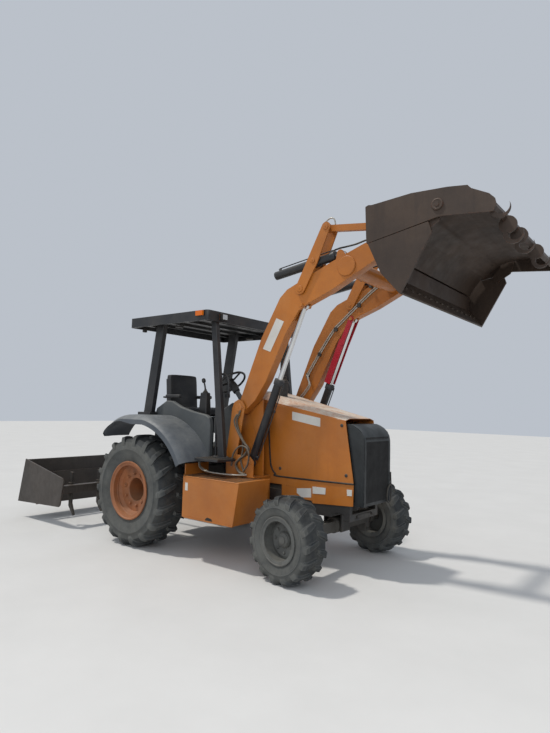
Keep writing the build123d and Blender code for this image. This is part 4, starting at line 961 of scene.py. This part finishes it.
# Caps on the pins: place in x and z, then the radius
mesh = bmesh.new()
for side in SIGNS:
    for x, z, size in ((2050, 2870, 34), (2203, 3142, 26), (2352, 3468, 30)):
        profile = [(size, -1), (size, 5), (size - 4, 9), (8, 10), (6, 13), (0.5, 13)]
        add_lathe(mesh, at(x, side * 580.5, z), LEFT * side, profile, 28)
piece("lever_pin_caps", mesh, "orange_paint", "tilt_levers", smooth=35)
mesh = bmesh.new()
for side in SIGNS:
    for x, z, size in ((1264, 1635, 44), (1400, 1038, 34)):
        profile = [(size, -1), (size, 6), (size - 6, 11), (9, 12), (7, 16), (0.5, 16)]
        add_lathe(mesh, at(x, side * 580.5, z), LEFT * side, profile, 28)
        add_bolt(mesh, at(x + 58, side * 580.5, z), LEFT * side, 16)
piece("tower_pin_caps", mesh, "orange_paint", smooth=35)
mesh = bmesh.new()
for side in SIGNS:
    add_lathe(mesh, at(2589, side * 563.5, 3038), LEFT * side, [(99, -2), (99, 2), (94, 6), (0.5, 7)], 44)
piece("cross_tube_caps", mesh, "orange_paint", "arms", smooth=35)

# Lift and tilt cylinder fittings: gland nuts, ports and their steel lines
LIFT_BASE, LIFT_EYE = (1400.0, 1038.0), (2068.0, 2703.0)
TRUNNION, TILT_EYE = (2203.0, 3142.0), (2500.0, 3185.0)
CYLINDER_Y = 500


def cylinder_fittings(name, start, end, gland, port, body, way):
    """A gland nut, two ports and the line that joins them, on both sides' cylinders. The ports face way."""
    length = hypot(end[0] - start[0], end[1] - start[1])
    ahead = Vector(((end[0] - start[0]) / length, 0, (end[1] - start[1]) / length))
    back = Vector((-ahead.z, 0, ahead.x)) * way
    mesh = bmesh.new()
    for side in SIGNS:
        base = at(start[0], side * CYLINDER_Y, start[1])
        gland_profile = [(46, -62), (54, -58), (54, -8), (48, 0), (30, 4)]
        add_lathe(mesh, base + ahead * (gland / 1000), ahead, gland_profile, 32)
        for distance in (port, gland - 40):
            place = base + ahead * (distance / 1000) + back * 0.038
            add_lathe(mesh, place, back, [(16, 0), (16, 20), (12, 24)], 16)
        run = [base + ahead * (distance / 1000) + back * reach for distance, reach in
               ((port, 0.062), (port + 40, 0.068), (gland - 90, 0.068), (gland - 40, 0.062))]
        add_tube(mesh, curved(run, 4), 6, 8)
    piece(name, mesh, "black_paint", body, smooth=45)


cylinder_fittings("lift_cylinder_fittings", LIFT_BASE, LIFT_EYE, 970, 90, "lift_barrels", -1)
cylinder_fittings("tilt_cylinder_fittings", TRUNNION, TILT_EYE, 235, -470, "tilt_barrels", 1)

# Hose loops over the tilt cylinders and at the lever tops
TILT_HOSE = [(2330, 3050), (2306, 3160), (2330, 3250), (2400, 3276), (2500, 3282), (2608, 3290), (2740, 3312),
             (2850, 3290), (2890, 3200)]
TOP_LOOP = [(2300, 3440), (2286, 3529), (2324, 3563), (2364, 3576), (2403, 3556), (2418, 3500)]
for side, hand in SIDES:
    tubes(f"tilt_hose_{hand}", [side_line(TILT_HOSE, side * 409)], 9, "hose_rubber", "arms")
    mesh = bmesh.new()
    for x, z in (TILT_HOSE[0], TILT_HOSE[-1]):
        add_box(mesh, (x - 15, x + 15), (side * 398, side * 445), (z - 14, z + 16))
    rounded(piece(f"tilt_hose_clips_{hand}", mesh, "dark_steel", "arms"), 2)
    tubes(f"lever_loop_{hand}", [side_line(TOP_LOOP, side * CYLINDER_Y)], 7, "zinc_tube", "tilt_levers")

# Hoses at the towers, by their place across the machine, between the valve on the frame and the steel lines
TOWER_HOSES = {
    598: [(1290, 1560), (1255, 1480), (1300, 1360), (1370, 1262), (1440, 1190), (1400, 1130), (1320, 1075),
          (1262, 1010), (1330, 935), (1400, 922)],
    620: [(1276, 1560), (1239, 1480), (1300, 1360), (1380, 1262), (1440, 1206), (1400, 1130), (1320, 1075),
          (1274, 1010), (1330, 935), (1400, 922)],
    592: [(1298, 1600), (1250, 1496), (1276, 1390), (1338, 1290), (1350, 1180), (1326, 1060), (1372, 950)],
    632: [(1226, 1000), (1250, 1130), (1330, 1212), (1424, 1210), (1470, 1140), (1456, 1030), (1396, 950)],
}
hoses = [side_line(outline, side * y) for side in SIGNS for y, outline in TOWER_HOSES.items()]
tubes("tower_hoses", hoses, 10, "hose_dusty")
STEP_LINES = [[(790, -700, 1030), (850, -720, 960), (960, -730, 925), (1150, -735, 918), (1330, -690, 915),
               (1420, -600, 915)],
              [(820, -722, 1030), (850, -742, 960), (960, -752, 925), (1150, -755, 918), (1330, -710, 915),
               (1420, -620, 915)]]
tubes("step_lines", [curved([at(*place) for place in line]) for line in STEP_LINES], 8, "zinc_tube")

# Bucket: cutting edge with its bolts, hinge caps and weld beads
bucket_up = in_bucket(0, 0, 1) - in_bucket(0, 0, 0)
places = [in_bucket(560, y, -247) for y in range(-945, 946, 135)]
bolts("cutting_edge_bolts", places, bucket_up, 24, "cut_steel", "clam")
EDGE_SECTION, EDGE_HALF = [(500, -247), (666, -250), (672, -262), (500, -266)], 1012
mesh = bmesh.new()
add_prism(mesh, [in_bucket(u, -EDGE_HALF, v) for u, v in EDGE_SECTION], LEFT * (2 * EDGE_HALF / 1000))
rounded(piece("cutting_edge", mesh, "cut_steel", "clam"), 3)
HINGE_CAP = [(47, -1), (47, 3), (38, 6), (34, 4), (20, 4), (18, 9), (0.5, 9)]
mesh = bmesh.new()
for side in SIGNS:
    add_lathe(mesh, in_bucket(370, side * 1048.5, 420), LEFT * side, HINGE_CAP, 32)
piece("bucket_hinge_caps", mesh, "bucket_steel", "bucket", smooth=35)
BEAD = [(660, 690), (520, 615), (400, 520), (330, 400)]
beads = [curved([in_bucket(u, side * 1018, v) for u, v in BEAD]) for side in SIGNS]
tubes("bucket_weld_beads", beads, 5, "bucket_steel", "bucket", sides=8)

# Scraper: shank clamps and the edge's bolts
mesh = bmesh.new()
for y in range(-860, 861, 430):
    for span in ((520, 560), (420, 450)):
        add_box(mesh, (-1520, -1446), (y - 26, y + 26), span)
    add_lathe(mesh, at(-1483, y - 34, 505), LEFT, [(9, 0), (9, 68)], 12)
rounded(piece("shank_clamps", mesh, "scraper_paint", "scraper"), 2)
bolts("scraper_edge_bolts", [at(-2452, y, 250) for y in range(-950, 951, 190)], Vector((-0.85, 0, 0.5)), 18,
      "cut_steel", "scraper")
